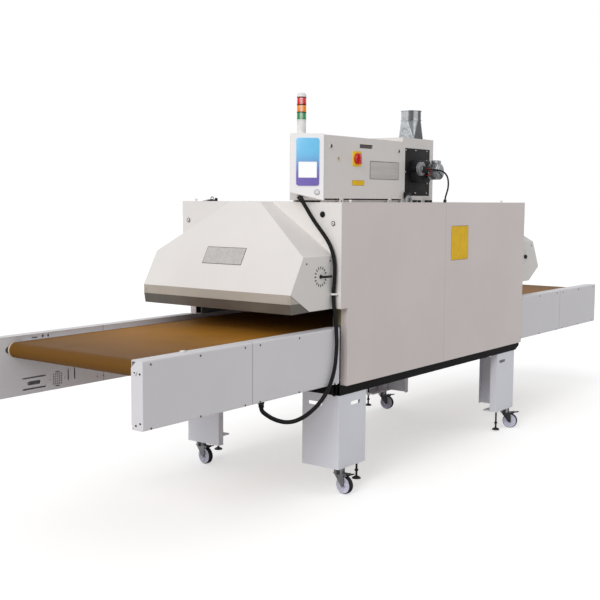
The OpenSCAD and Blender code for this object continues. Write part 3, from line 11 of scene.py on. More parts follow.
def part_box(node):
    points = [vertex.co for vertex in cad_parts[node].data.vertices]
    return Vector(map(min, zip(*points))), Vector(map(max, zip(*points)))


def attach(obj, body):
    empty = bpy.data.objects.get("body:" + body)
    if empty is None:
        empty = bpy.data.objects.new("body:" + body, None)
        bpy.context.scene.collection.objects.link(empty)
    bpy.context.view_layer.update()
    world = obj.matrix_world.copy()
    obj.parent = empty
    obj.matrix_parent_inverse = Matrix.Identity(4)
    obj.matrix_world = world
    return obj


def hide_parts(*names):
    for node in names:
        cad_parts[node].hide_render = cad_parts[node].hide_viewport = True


bl_info = {"name": "Conveyor dryer", "version": (1, 0, 0), "blender": (4, 5, 0),
    "location": "View3D > Sidebar > Dryer",
    "description": "Builds the finishes and detailed pieces of a conveyor dryer",
    "category": "Object"}

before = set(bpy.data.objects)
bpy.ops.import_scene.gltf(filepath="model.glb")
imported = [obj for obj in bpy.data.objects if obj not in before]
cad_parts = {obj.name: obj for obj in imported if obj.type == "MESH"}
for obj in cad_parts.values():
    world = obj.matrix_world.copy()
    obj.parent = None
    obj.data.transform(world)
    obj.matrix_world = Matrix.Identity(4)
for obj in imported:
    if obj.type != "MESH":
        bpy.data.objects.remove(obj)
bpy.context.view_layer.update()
MM = 0.001
FULL_TURN = 2 * math.pi

# Floor and place of the camera in metres; its heading, tilt and roll in degrees
FLOOR_WIDTH = 120.0
CAMERA_PLACE = (-5.4815, -3.5916, 1.6)
CAMERA_TURNS = ((-52.963, "Z"), (90 - 5.739, "X"), (0.369, "Z"))

# Directions, and places in millimetres
RIGHT, UP, NEAR = (1, 0, 0), (0, 0, 1), (0, -1, 0)
ROOF = 1580
DOOR_FACE = -452
HOOD_SIDE = -520
BURNER_FACE = -449.7
VENT = (-1234, HOOD_SIDE, 1195)
VALVE = (-209, -446, 1779)
MOTOR = (-93, -515, 1765)


def colour(red, green, blue):
    """A screen colour from 0 to 255 as linear light."""

    def linear(value):
        value /= 255
        return value / 12.92 if value <= 0.04045 else ((value + 0.055) / 1.055) ** 2.4

    return (linear(red), linear(green), linear(blue))


def colour_value(name, red, green, blue):
    return bpy.props.FloatVectorProperty(name=name, subtype="COLOR", size=3, min=0, max=1,
        default=colour(red, green, blue))


def length_value(name, millimetres):
    return bpy.props.FloatProperty(name=name, unit="LENGTH", subtype="DISTANCE", min=0,
        default=millimetres * MM)


def number_value(name, value):
    return bpy.props.FloatProperty(name=name, min=0, default=value)


def count_value(name, value):
    return bpy.props.IntProperty(name=name, min=1, default=value)


class DryerColours(bpy.types.PropertyGroup):
    """Colours of the paints, plastics and metals."""

    hood: colour_value("Hood paint", 236, 232, 229)
    panel: colour_value("Panel paint", 228, 218, 215)
    cover: colour_value("Cover paint", 228, 226, 230)
    leg: colour_value("Leg paint", 238, 239, 247)
    cabinet: colour_value("Cabinet paint", 232, 227, 224)
    console: colour_value("Console paint", 254, 250, 251)
    beam: colour_value("Frame paint", 12, 11, 12)
    belt: colour_value("Belt", 177, 121, 36)
    # The belt's dark tone: for its streaks, and as the base of the painted shade on its turns
    belt_dark: colour_value("Belt streaks", 146, 98, 28)
    lip: colour_value("Lip steel", 150, 143, 134)
    galvanised: colour_value("Galvanised steel", 196, 200, 203)
    zinc: colour_value("Zinc plate", 178, 180, 184)
    nylon: colour_value("Wheel nylon", 222, 221, 236)
    black: colour_value("Black plastic", 20, 20, 22)
    yellow: colour_value("Switch plate", 254, 208, 8)
    label: colour_value("Label plate", 252, 200, 8)
    red: colour_value("Switch handle", 205, 28, 30)
    foil_top: colour_value("Foil, top", 120, 205, 250)
    foil_low: colour_value("Foil, bottom", 128, 112, 196)
    lens_red: colour_value("Red lens", 222, 10, 22)
    lens_amber: colour_value("Amber lens", 255, 150, 10)
    lens_green: colour_value("Green lens", 0, 150, 84)


class DryerSizes(bpy.types.PropertyGroup):
    """Sizes of the detailed pieces."""

    hose_pitch: length_value("Rib pitch", 4.4)
    hose_depth: length_value("Rib depth", 1.3)
    hose: length_value("Conduit", 22)
    lead: length_value("Motor lead", 10)
    screw: length_value("Screw", 10)
    screw_height: length_value("Screw height", 2.6)
    plate: length_value("Plate", 1.2)
    fin_count: count_value("Motor fins", 28)
    flute_count: count_value("Lens flutes", 36)
    spoke_count: count_value("Wheel ribs", 8)


class DryerStage(bpy.types.PropertyGroup):
    """Camera and light."""

    lens: number_value("Lens", 60.707)
    sun: number_value("Key light", 1.4)
    sky: number_value("Sky", 0.48)
    floor: number_value("Floor white", 0.5)


def colours():
    """The colours of the paints, plastics and metals, as linear light."""
    group = bpy.context.scene.dryer_colours
    return {key: tuple(getattr(group, key)) for key in group.__annotations__}


def sizes():
    return bpy.context.scene.dryer_sizes


def show(name, data):
    """A new object in the scene."""
    made = bpy.data.objects.new(name, data)
    bpy.context.scene.collection.objects.link(made)
    return made


# Shader maths


def feed(tree, socket, value):
    """Gives an input its value, or the output that feeds it."""
    if isinstance(value, Term):
        value = value.socket
    if isinstance(value, bpy.types.NodeSocket):
        tree.links.new(value, socket)
    elif socket.type == "RGBA" and len(value) == 3:
        socket.default_value = (*value, 1.0)
    else:
        socket.default_value = value


def add_node(tree, kind, settings, sockets, output=0):
    """Adds a node and gives one of its outputs."""
    made = tree.nodes.new(kind)
    for name, value in settings.items():
        setattr(made, name, value)
    for key, value in sockets.items():
        feed(tree, made.inputs[key], value)
    return made.outputs[output] if made.outputs else None


class Term:
    """A shader value; sums on it add Math nodes."""

    def __init__(self, finish, socket):
        self.finish = finish
        self.socket = socket

    def maths(self, operation, *others):
        sockets = dict(enumerate([self, *others]))
        return self.finish.node("ShaderNodeMath", {"operation": operation}, sockets)

    def __add__(self, other):
        return self.maths("ADD", other)

    def __sub__(self, other):
        return self.maths("SUBTRACT", other)

    def __rsub__(self, other):
        return self.finish.node("ShaderNodeMath", {"operation": "SUBTRACT"}, {0: other, 1: self})

    def __mul__(self, other):
        return self.maths("MULTIPLY", other)

    def sine(self):
        return self.maths("SINE")

    def size(self):
        return self.maths("ABSOLUTE")

    def rise(self, low, high):
        """0 below low, 1 above high, smooth between."""
        return self.finish.node("ShaderNodeMapRange", {"interpolation_type": "SMOOTHSTEP"},
            {"Value": self, "From Min": low, "From Max": high, "To Min": 0.0, "To Max": 1.0})


class Finish:
    """One material and the nodes that make it."""

    def __init__(self, name):
        self.material = bpy.data.materials.new(name)
        self.material.use_nodes = True
        self.tree = self.material.node_tree
        self.tree.nodes.clear()
        self.shader = self.tree.nodes.new("ShaderNodeBsdfPrincipled")
        self.output = self.tree.nodes.new("ShaderNodeOutputMaterial")
        self.tree.links.new(self.shader.outputs[0], self.output.inputs[0])
        self.place = self.node("ShaderNodeTexCoord", {}, {}, "Object")

    def node(self, kind, settings, sockets, output=0):
        return Term(self, add_node(self.tree, kind, settings, sockets, output))

    def set(self, **values):
        """Feeds inputs of the shader and gives the material."""
        for key, value in values.items():
            feed(self.tree, self.shader.inputs[key.replace("_", " ").title()], value)
        return self.material

    def gloss(self, level):
        self.shader.inputs["Specular IOR Level"].default_value = level

    def split(self, vector):
        made = self.node("ShaderNodeSeparateXYZ", {}, {0: vector}).socket.node
        return [Term(self, output) for output in made.outputs]

    def axes(self):
        return self.split(self.place)

    def normal(self):
        return self.split(self.node("ShaderNodeNewGeometry", {}, {}, "Normal"))

    def stretched(self, scale):
        return self.node("ShaderNodeMapping", {"vector_type": "POINT"},
            {"Vector": self.place, "Scale": scale})

    def noise(self, scale, detail=2.0, roughness=0.5, place=None):
        return self.node("ShaderNodeTexNoise", {},
            {"Vector": place or self.place, "Scale": scale, "Detail": detail,
            "Roughness": roughness})

    def cells(self, scale):
        return self.node("ShaderNodeTexVoronoi", {}, {"Vector": self.place, "Scale": scale},
            "Color")

    def mix(self, factor, first, second):
        return self.node("ShaderNodeMix", {"data_type": "RGBA"}, {0: factor, 6: first, 7: second},
            2)

    def facing(self, x, y):
        """How squarely a face looks along a level direction."""
        across, along, _ = self.normal()
        return across * x + along * y

    def reflection_bands(self, count):
        """Painted reflection: light and dark bands on bright metal, by the way a face looks."""
        across, along, up = self.normal()
        return ((across * 0.8 - along * 0.6 + up * 0.5) * count + 0.9).sine() * 0.5 + 0.5

    def tint(self, factor, tone, first, second):
        """Goes from one shade of a tone to another."""
        return self.mix(factor, shade(tone, first), shade(tone, second))

    def bump(self, height, distance, strength=1.0):
        return self.node("ShaderNodeBump", {}, {"Height": height, "Distance": distance,
            "Strength": strength})


def arc(span, steps):
    """Cosine and sine of the angles from 0 to the span."""
    angles = [span * k / steps for k in range(steps + 1)]
    return [(math.cos(a), math.sin(a)) for a in angles]


def shade(value, factor):
    return tuple(min(1.0, channel * factor) for channel in value)


def powder_coat(name, paint, roughness=0.42, gloss=0.5, seam=None, gap_shade=0.8):
    """Powder coat: fine orange peel, faint clouds in its tone, handling marks in its gloss, and a
    painted shade line along a seam when one is given.
    """
    made = Finish(name)
    peel = made.noise(900.0, 2.0)
    grain = made.noise(260.0, 1.0)
    clouds = made.noise(1.7, 3.0, 0.6)
    marks = made.noise(9.0, 4.0, 0.65)
    tone = made.tint(clouds.rise(0.35, 0.7), paint, 0.975, 1.02)
    if seam is not None:
        # Painted shade: a dark line in the gap along the seam
        gap = 1.0 - (made.axes()[0].size() - seam).size().rise(0.0012, 0.0022)
        tone = made.mix(gap * gap_shade, tone, shade(paint, 0.2))
    made.gloss(gloss)
    return made.set(base_color=tone, roughness=marks * 0.12 + (roughness - 0.06),
        normal=made.bump(peel * 0.7 + grain * 0.3, 0.00025, 0.35))


def rolled_metal(name, tone, roughness, stretch, metallic=1.0, wear=0.06, scale=60.0, reflection_bands=0,
        painted_dark=0.16):
    """Rolled or brushed metal: grain drawn out along one way, with cloudy gloss, and painted
    reflection bands when a count of them is given.
    """
    made = Finish(name)
    grain = made.noise(scale, 3.0, 0.6, made.stretched(stretch))
    clouds = made.noise(5.0, 3.0)
    skin = made.mix(grain.rise(0.3, 0.7), shade(tone, 1 - wear * 2), shade(tone, 1 + wear))
    if reflection_bands:
        # Painted reflection: dark and light bands by the way each face looks
        skin = made.mix(made.reflection_bands(reflection_bands).rise(0.15, 0.85), shade(tone, painted_dark), skin)
    return made.set(base_color=skin, metallic=metallic,
        roughness=grain * 0.16 + clouds * 0.14 + (roughness - 0.15),
        normal=made.bump(grain, 0.0001, 0.3))


def spangled(name, tone):
    """Galvanised sheet with its zinc spangles, and painted reflection bands by the way a face
    looks.
    """
    made = Finish(name)
    spangle = made.cells(70.0)
    value = made.node("ShaderNodeSeparateXYZ", {}, {0: spangle})
    grain = made.noise(140.0, 3.0, 0.6, made.stretched((1.0, 1.0, 0.2)))
    skin = made.tint(value.rise(0.1, 0.9), tone, 0.8, 1.1)
    # The dark bands are painted reflection
    return made.set(base_color=made.mix(made.reflection_bands(6.5).rise(0.2, 0.8), shade(tone, 0.2), skin),
        metallic=0.85, roughness=value * 0.2 + grain * 0.12 + 0.2,
        normal=made.bump(value + grain * 0.3, 0.0002, 0.35))


def moulded(name, tone, roughness=0.4, grain_scale=700.0, grain=0.3, coat=0.0, gloss=0.5):
    """Moulded plastic or rubber with a fine grain and worn gloss."""
    made = Finish(name)
    fine = made.noise(grain_scale, 2.0)
    patches = made.noise(24.0, 3.0, 0.6)
    made.gloss(gloss)
    return made.set(base_color=made.tint(patches.rise(0.3, 0.75), tone, 0.9, 1.08),
        roughness=patches * 0.16 + (roughness - 0.08), normal=made.bump(fine, 0.0002, grain),
        coat_weight=coat)


def coated_mesh(name):
    """The belt's coated glass-fibre weave: bound edges, long streaks, and painted shade on its
    turns over the rollers.
    """
    tones = colours()
    made = Finish(name)
    along, across, _ = made.axes()
    weave = (along * 1571.0).sine() * (across * 1571.0).sine()
    streaks = made.noise(34.0, 4.0, 0.6, made.stretched((0.03, 1.0, 1.0)))
    clouds = made.noise(2.2, 4.0, 0.6)
    cloth = made.mix(streaks.rise(0.2, 0.85) * 0.5 + 0.5, tones["belt_dark"], tones["belt"])
    cloth = made.mix(clouds.rise(0.4, 0.75) * 0.5, cloth, shade(tones["belt_dark"], 0.8))
    cloth = made.mix(weave.rise(0.2, 1.0) * 0.22, cloth, shade(tones["belt_dark"], 0.6))
    # Painted shade: the belt darkens towards both ends, where it turns down over the rollers
    turn = along.size().rise(1.5, 2.5)
    cloth = made.mix(turn * 0.85, cloth, shade(tones["belt_dark"], 0.42))
    made.gloss(0.2)
    edge = across.size().rise(0.438, 0.4395)
    cloth = made.mix(edge * 0.4, cloth, shade(tones["belt_dark"], 0.6))
    return made.set(base_color=cloth, roughness=streaks * 0.15 + 0.55,
        normal=made.bump(weave * 0.5 + streaks, 0.0004, 0.5))


def foil(name):
    """Printed foil round the display: light blue above, violet below."""
    tones = colours()
    made = Finish(name)
    height = made.axes()[2]
    glow = made.noise(16.0, 3.0, 0.6)
    fine = made.noise(900.0, 1.0)
    step = (height + glow * 0.03).rise(1.72, 1.87)
    tone = made.mix(step, tones["foil_low"], tones["foil_top"])
    return made.set(base_color=tone, roughness=glow * 0.1 + 0.22,
        normal=made.bump(fine, 0.0001, 0.15))


def display(name):
    """Pale backlit display with a faint pixel grid."""
    made = Finish(name)
    along, _, height = made.axes()
    grid = (along * 2600.0).sine() * (height * 2600.0).sine()
    tone = made.mix(grid.rise(0.3, 1.0) * 0.1, colour(246, 248, 255), colour(214, 222, 240))
    return made.set(base_color=tone, roughness=grid * 0.03 + 0.16, emission_color=tone,
        emission_strength=0.22)


def lens(name, tone):
    """Clear coloured plastic of a signal lens, lit a little from inside, with a painted highlight
    strip.
    """
    made = Finish(name)
    depth = made.noise(60.0, 2.0)
    glow = made.tint(depth.rise(0.3, 0.7), tone, 0.9, 1.2)
    # Painted highlight: a pale strip on the faces that look towards the camera
    glow = made.mix(made.facing(-0.84, -0.54).rise(0.93, 0.995) * 0.7, glow, (1.0, 0.96, 0.92))
    return made.set(base_color=glow, roughness=depth * 0.08 + 0.1, coat_weight=0.6,
        emission_color=glow, emission_strength=0.04)


def wool(name):
    """Mineral wool: matted fibres with a crumbly face."""
    made = Finish(name)
    fibre = made.noise(120.0, 6.0, 0.75, made.stretched((1.0, 0.3, 1.0)))
    tufts = made.noise(18.0, 3.0)
    return made.set(base_color=made.mix(fibre.rise(0.3, 0.75), colour(150, 138, 84),
        colour(214, 200, 140)), roughness=tufts * 0.1 + 0.88,
        normal=made.bump(fibre + tufts, 0.004, 0.8))


def cast_metal(name, tone, metallic=0.0, roughness=0.5, gloss=0.5):
    """Painted or bare casting with a sandy skin."""
    made = Finish(name)
    sand = made.noise(420.0, 3.0, 0.6)
    oil = made.noise(20.0, 4.0, 0.6)
    made.gloss(gloss)
    return made.set(base_color=made.tint(oil.rise(0.35, 0.75), tone, 0.86, 1.1), metallic=metallic,
        roughness=oil * 0.2 + sand * 0.1 + (roughness - 0.15), normal=made.bump(sand, 0.0005, 0.5))


def rolled_thread(name):
    """Black pad and threaded rod: thread turns show above the pad."""
    made = Finish(name)
    height = made.axes()[2]
    turns = (height * 3590.0).sine()
    grain = made.noise(300.0, 2.0)
    scuffs = made.noise(60.0, 3.0)
    return made.set(base_color=made.mix(scuffs.rise(0.5, 0.8), colour(24, 24, 26),
        colour(52, 52, 55)), metallic=scuffs.rise(0.45, 0.6) * 0.4, roughness=scuffs * 0.25 + 0.3,
        normal=made.bump(turns * 0.5 + grain * 0.2, 0.0012, 0.8))


def lip_steel(name):
    """Heat-stained stainless sheet: painted light on the upper bend and painted shade on the lower,
    more metallic flap.
    """
    made = Finish(name)
    height = made.axes()[2]
    grain = made.noise(40.0, 3.0, 0.6, made.stretched((1.0, 0.04, 1.0)))
    stain = made.noise(3.0, 4.0, 0.6)
    # The bend above this height gets painted light and the flap below it painted shade; the stains
    # are the sheet's own
    upper = height.rise(1.066, 1.069)
    tone = colours()["lip"]
    painted_dark = made.tint(stain.rise(0.3, 0.8), tone, 0.42, 0.64)
    painted_light = made.tint(stain.rise(0.3, 0.8), tone, 1.5, 1.75)
    return made.set(base_color=made.mix(upper, painted_dark, painted_light), metallic=upper * -0.15 + 0.35,
        roughness=grain * 0.2 + 0.3, normal=made.bump(grain, 0.0002, 0.3))


FINISHES = {}


def make_finishes():
    paint = colours()
    FINISHES.update(  # by short name
        hood=powder_coat("hood_paint", paint["hood"]),
        panel=powder_coat("panel_paint", paint["panel"], 0.4, seam=0.0, gap_shade=0.3),
        cover=powder_coat("cover_paint", paint["cover"], 0.42, seam=1.827),
        leg=powder_coat("leg_paint", paint["leg"], 0.45),
        cabinet=powder_coat("cabinet_paint", paint["cabinet"], 0.4),
        console=powder_coat("console_paint", paint["console"], 0.36),
        beam=powder_coat("beam_paint", paint["beam"], 0.6, 0.12),
        belt=coated_mesh("belt_cloth"),
        lip=lip_steel("lip_steel"),
        flue=spangled("flue_zinc", paint["galvanised"]),
        zinc=rolled_metal("zinc_plate", paint["zinc"], 0.34, (1.0, 1.0, 0.2), reflection_bands=5),
        sheet=rolled_metal("liner_steel", colour(150, 152, 154), 0.46, (0.1, 1.0, 1.0), 0.8),
        bare=rolled_metal("bare_plate", colour(196, 192, 190), 0.4, (0.08, 1.0, 1.0), 0.35, 0.05),
        border=rolled_metal("plate_border", colour(96, 92, 92), 0.4, (0.1, 1.0, 1.0), 0.5),
        bright=rolled_metal(
            "bright_aluminium", colour(206, 208, 210), 0.28, (1.0, 0.1, 1.0), reflection_bands=7, painted_dark=0.4
        ),
        bed=rolled_metal("bed_zinc", colour(176, 180, 183), 0.4, (0.2, 1.0, 1.0), 0.8),
        sleeve=moulded("roller_sleeve", colour(214, 200, 170), 0.6, 300.0),
        nylon=moulded("wheel_nylon", paint["nylon"], 0.42),
        tread=moulded("wheel_tread", colour(34, 34, 40), 0.6, 260.0, 0.5, gloss=0.2),
        black=moulded("black_plastic", paint["black"], 0.45, gloss=0.22),
        rubber=moulded("black_rubber", colour(12, 12, 14), 0.5, 420.0, 0.4, gloss=0.22),
        yellow=moulded("yellow_plastic", paint["yellow"], 0.35, 500.0, 0.15, gloss=0.25),
        label=moulded("yellow_film", paint["label"], 0.4, 500.0, 0.12, gloss=0.2),
        label_edge=moulded("label_edge", colour(168, 128, 18), 0.45),
        red=moulded("red_plastic", paint["red"], 0.3, 500.0, 0.15, 0.3),
        wire=moulded("red_wire", colour(150, 22, 24), 0.45, gloss=0.25),
        white=moulded("white_plastic", colour(238, 237, 236), 0.32, 600.0, 0.15, 0.2),
        # Dark grey of the painted shade in the door's grip recess
        lining=moulded("recess_lining", colour(112, 108, 106), 0.5, gloss=0.2),
        grey=moulded("grey_plastic", colour(160, 160, 164), 0.4),
        foil=foil("panel_foil"),
        display=display("display"),
        lens_red=lens("lens_red", paint["lens_red"]),
        lens_amber=lens("lens_amber", paint["lens_amber"]),
        lens_green=lens("lens_green", paint["lens_green"]),
        wool=wool("mineral_wool"),
        motor=cast_metal("motor_paint", colour(94, 104, 112)),
        casting=cast_metal("black_casting", colour(22, 22, 25), 0.0, 0.55, 0.2),
        valve=cast_metal("grey_casting", colour(150, 150, 153), 0.6, 0.5),
        foot=rolled_thread("foot_thread"),
    )


# Forms in mesh code, in millimetres


class Form:
    """Gathers the closed forms of one piece; sizes are in millimetres."""

    def __init__(self):
        self.mesh = bmesh.new()

    def gather(self, other, slot, bevel=0.0, steps=2):
        """Takes in another form, with its edges rounded."""
        if bevel:
            bmesh.ops.bevel(other, geom=other.edges[:], offset=bevel * MM, segments=steps,
                affect="EDGES", profile=0.5)
        bmesh.ops.recalc_face_normals(other, faces=other.faces)
        made = [self.mesh.verts.new(v.co) for v in other.verts]
        other.verts.index_update()
        for face in other.faces:
            self.mesh.faces.new([made[v.index] for v in face.verts]).material_index = slot
        other.free()

    def block(self, low, high, bevel=0.0, slot=0, steps=2):
        other = bmesh.new()
        low, high = Vector(low) * MM, Vector(high) * MM
        matrix = Matrix.LocRotScale((low + high) / 2, None, high - low)
        bmesh.ops.create_cube(other, size=1.0, matrix=matrix)
        self.gather(other, slot, bevel, steps)

    def lathe(self, outline, place, axis=UP, steps=40, slot=0):
        """Turns an outline of (radius, height) round the axis through place."""
        other = bmesh.new()
        turn = Vector(UP).rotation_difference(Vector(axis)).to_matrix()
        origin = Vector(place) * MM
        rings = []
        for radius, height in outline:
            around = arc(FULL_TURN, steps)[:-1] if radius else [(0, 0)]
            spots = [Vector((radius * c, radius * s, height)) * MM for c, s in around]
            rings.append([other.verts.new(origin + turn @ spot) for spot in spots])
        for first, second in zip(rings, rings[1:]):
            for step in range(steps):
                after = (step + 1) % steps
                corners = [first[step % len(first)], first[after % len(first)]]
                corners += [second[after % len(second)], second[step % len(second)]]
                other.faces.new(list(dict.fromkeys(corners)))
        self.gather(other, slot)

    def prism(self, outline, origin, across, up, depth, bevel=0.0, slot=0):
        """Pushes an outline, drawn with across and up from origin, by the vector depth."""
        other = bmesh.new()
        origin, across, up, depth = (Vector(v) for v in (origin, across, up, depth))
        low = [other.verts.new((origin + across * a + up * b) * MM) for a, b in outline]
        high = [other.verts.new((origin + across * a + up * b + depth) * MM) for a, b in outline]
        other.faces.new(low)
        other.faces.new(high)
        for k in range(len(outline)):
            after = (k + 1) % len(outline)
            other.faces.new([low[k], low[after], high[after], high[k]])
        self.gather(other, slot, bevel)

    def pipe(self, route, radius, steps=12, slot=0):
        """Sweeps a closed pipe along points in millimetres."""
        other = bmesh.new()
        points = [Vector(p) * MM for p in route]
        rings = []
        side = None
        for k, point in enumerate(points):
            ahead = (points[min(k + 1, len(points) - 1)] - points[max(k - 1, 0)]).normalized()
            if side is None:
                side = ahead.orthogonal().normalized()
            side = (side - ahead * side.dot(ahead)).normalized()
            third = ahead.cross(side)
            around = arc(FULL_TURN, steps)[:-1]
            spots = [point + (side * c + third * s) * radius * MM for c, s in around]
            rings.append([other.verts.new(spot) for spot in spots])
        for first, second in zip(rings, rings[1:]):
            for s in range(steps):
                t = (s + 1) % steps
                other.faces.new([first[s], first[t], second[t], second[s]])
        other.faces.new(rings[0])
        other.faces.new(rings[-1])
        self.gather(other, slot)

    def settle(self, name, materials, body, slot=None, nodes=(), angle=32):
        """The finished piece, fastened to its body."""
        return settle(self.piece(name, materials, angle), body, nodes)

    def piece(self, name, materials, angle=32):
        """The finished object, at the origin, with its faces smooth up to the angle."""
        mesh = bpy.data.meshes.new(name)
        self.mesh.to_mesh(mesh)
        self.mesh.free()
        for material in materials:
            mesh.materials.append(FINISHES[material])
        mesh.shade_smooth()
        mesh.set_sharp_from_angle(angle=math.radians(angle))
        return show(name, mesh)


def settle(piece, body, nodes=()):
    """Fastens a piece to its body and hides the frame nodes that it stands for."""
    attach(piece, body)
    if nodes:
        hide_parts(*nodes)
    return piece


def rounded(width, height, radius, steps=6):
    """Outline of a rectangle with round corners, centred."""
    points = []
    for quarter, (x, y) in enumerate([(1, 1), (-1, 1), (-1, -1), (1, -1)]):
        centre = (x * (width / 2 - radius), y * (height / 2 - radius))
        for step in range(steps + 1):
            angle = math.pi / 2 * (quarter + step / steps)
            points.append((centre[0] + radius * math.cos(angle),
                centre[1] + radius * math.sin(angle)))
    return points


# Geometry Nodes


class NodePlan:
    """A Geometry Nodes tree with named inputs."""

    def __init__(self, name, inputs):
        self.tree = bpy.data.node_groups.new(name, "GeometryNodeTree")
        face = self.tree.interface
        face.new_socket(name="Geometry", in_out="INPUT", socket_type="NodeSocketGeometry")
        for label, kind, value in inputs:
            made = face.new_socket(name=label, in_out="INPUT", socket_type="NodeSocket" + kind)
            if value is not None:
                made.default_value = value
        face.new_socket(name="Geometry", in_out="OUTPUT", socket_type="NodeSocketGeometry")
        self.start = self.tree.nodes.new("NodeGroupInput")
        self.end = self.tree.nodes.new("NodeGroupOutput")

    def __getitem__(self, label):
        return self.start.outputs[label]

    def node(self, kind, settings, sockets, output=0):
        return add_node(self.tree, kind, settings, sockets, output)

    def geometry(self, kind, sockets):
        return add_node(self.tree, "GeometryNode" + kind, {}, sockets)

    def maths(self, operation, first, second):
        return self.node("ShaderNodeMath", {"operation": operation}, {0: first, 1: second})

    def close(self, geometry):
        real = self.geometry("RealizeInstances", {0: geometry})
        coated = self.geometry("SetMaterial", {0: real, "Material": self["Material"]})
        self.tree.links.new(coated, self.end.inputs[0])


def run_plan(carrier, plan, name, **inputs):
    """Runs a tree on the carrier and keeps its result as a plain mesh."""
    modifier = carrier.modifiers.new(plan.tree.name, "NODES")
    modifier.node_group = plan.tree
    for item in plan.tree.interface.items_tree:
        key = item.name.lower().replace(" ", "_")
        if item.in_out == "INPUT" and key in inputs:
            modifier[item.identifier] = inputs[key]
    graph = bpy.context.evaluated_depsgraph_get()
    mesh = bpy.data.meshes.new_from_object(carrier.evaluated_get(graph), depsgraph=graph)
    mesh.name = name
    made = show(name, mesh)
    carrier.modifiers.remove(modifier)
    data = carrier.data
    bpy.data.objects.remove(carrier)
    kept = bpy.data.meshes if isinstance(data, bpy.types.Mesh) else bpy.data.curves
    kept.remove(data)
    return made


PLANS = {}


def hose_plan():
    """A ribbed hose along the carrier's curve."""
    plan = NodePlan("ribbed_hose", [("Radius", "Float", 0.011), ("Pitch", "Float", 0.004),
        ("Depth", "Float", 0.001), ("Sides", "Int", 16), ("Material", "Material", None)])
    half = plan.maths("DIVIDE", plan["Pitch"], 4.0)
    curve = plan.node("GeometryNodeResampleCurve", {"mode": "LENGTH"},
        {"Curve": plan["Geometry"], "Length": half})
    index = plan.geometry("InputIndex", {})
    quarter = plan.maths("MODULO", index, 4.0)
    groove = plan.maths("GREATER_THAN", quarter, 1.5)
    sunk = plan.maths("MULTIPLY", groove, plan["Depth"])
    radius = plan.maths("SUBTRACT", plan["Radius"], sunk)
    ring = plan.geometry("CurvePrimitiveCircle", {"Resolution": plan["Sides"], "Radius": 1.0})
    tube = plan.geometry("CurveToMesh", {"Curve": curve, "Profile Curve": ring, "Scale": radius,
        "Fill Caps": True})
    plan.close(tube)
    return plan


def scatter_plan():
    """One form at each point of the carrier, facing the way that the point's facing says."""
    plan = NodePlan("facing_forms", [("Form", "Object", None), ("Turn", "Float", 0.6),
        ("Material", "Material", None)])
    form = plan.node("GeometryNodeObjectInfo", {"transform_space": "ORIGINAL"},
        {"Object": plan["Form"]}, "Geometry")
    facing = plan.node("GeometryNodeInputNamedAttribute", {"data_type": "FLOAT_VECTOR"},
        {"Name": "facing"})
    index = plan.geometry("InputIndex", {})
    spin = plan.maths("MULTIPLY", index, plan["Turn"])
    about = plan.node("ShaderNodeCombineXYZ", {}, {2: spin})
    aligned = plan.node("FunctionNodeAlignRotationToVector", {"axis": "Z"}, {"Vector": facing})
    spun = plan.node("FunctionNodeRotateRotation", {"rotation_space": "LOCAL"},
        {0: aligned, 1: about})
    placed = plan.geometry("InstanceOnPoints", {"Points": plan["Geometry"], "Instance": form,
        "Rotation": spun})
    plan.close(placed)
    return plan


def ring_plan():
    """Copies of the carrier's form round its Z axis, then moved to a place and an axis."""
    plan = NodePlan("ring_of_forms", [("Count", "Int", 12), ("Place", "Vector", None),
        ("Axis", "Vector", None), ("Material", "Material", None)])
    points = plan.geometry("Points", {"Count": plan["Count"]})
    index = plan.geometry("InputIndex", {})
    step = plan.maths("DIVIDE", FULL_TURN, plan["Count"])
    angle = plan.maths("MULTIPLY", index, step)
    about = plan.node("ShaderNodeCombineXYZ", {}, {2: angle})
    ring = plan.geometry("InstanceOnPoints", {"Points": points, "Instance": plan["Geometry"],
        "Rotation": about})
    real = plan.geometry("RealizeInstances", {0: ring})
    aligned = plan.node("FunctionNodeAlignRotationToVector", {"axis": "Z"},
        {"Vector": plan["Axis"]})
    moved = plan.geometry("Transform", {"Geometry": real, "Translation": plan["Place"],
        "Rotation": aligned})
    plan.close(moved)
    return plan


def make_plans():
    PLANS.update(hose=hose_plan(), scatter=scatter_plan(), ring=ring_plan())


def scatter(name, form, spots, material, turn=0.6):
    """Sets a form at spots of (place, facing), with places in millimetres, as one piece."""
    mesh = bpy.data.meshes.new(name + "_spots")
    mesh.from_pydata([Vector(place) * MM for place, _ in spots], [], [])
    attribute = mesh.attributes.new("facing", "FLOAT_VECTOR", "POINT")
    for k, (_, facing) in enumerate(spots):
        attribute.data[k].vector = facing
    carrier = show(name + "_spots", mesh)
    made = run_plan(carrier, PLANS["scatter"], name, form=form, turn=turn,
        material=FINISHES[material])
    mesh = form.data
    bpy.data.objects.remove(form)
    bpy.data.meshes.remove(mesh)
    settle(made, "machine")


def ring_of(name, form, material, count, place, axis, body):
    """Sets the form, drawn beside the Z axis, round another axis as one piece."""
    carrier = form.piece(name + "_form", [material])
    place = tuple(Vector(place) * MM)
    made = run_plan(carrier, PLANS["ring"], name, count=count, place=place, axis=axis,
        material=FINISHES[material])
    settle(made, body)


# Routes of the cords, as the model's source has them, in millimetres

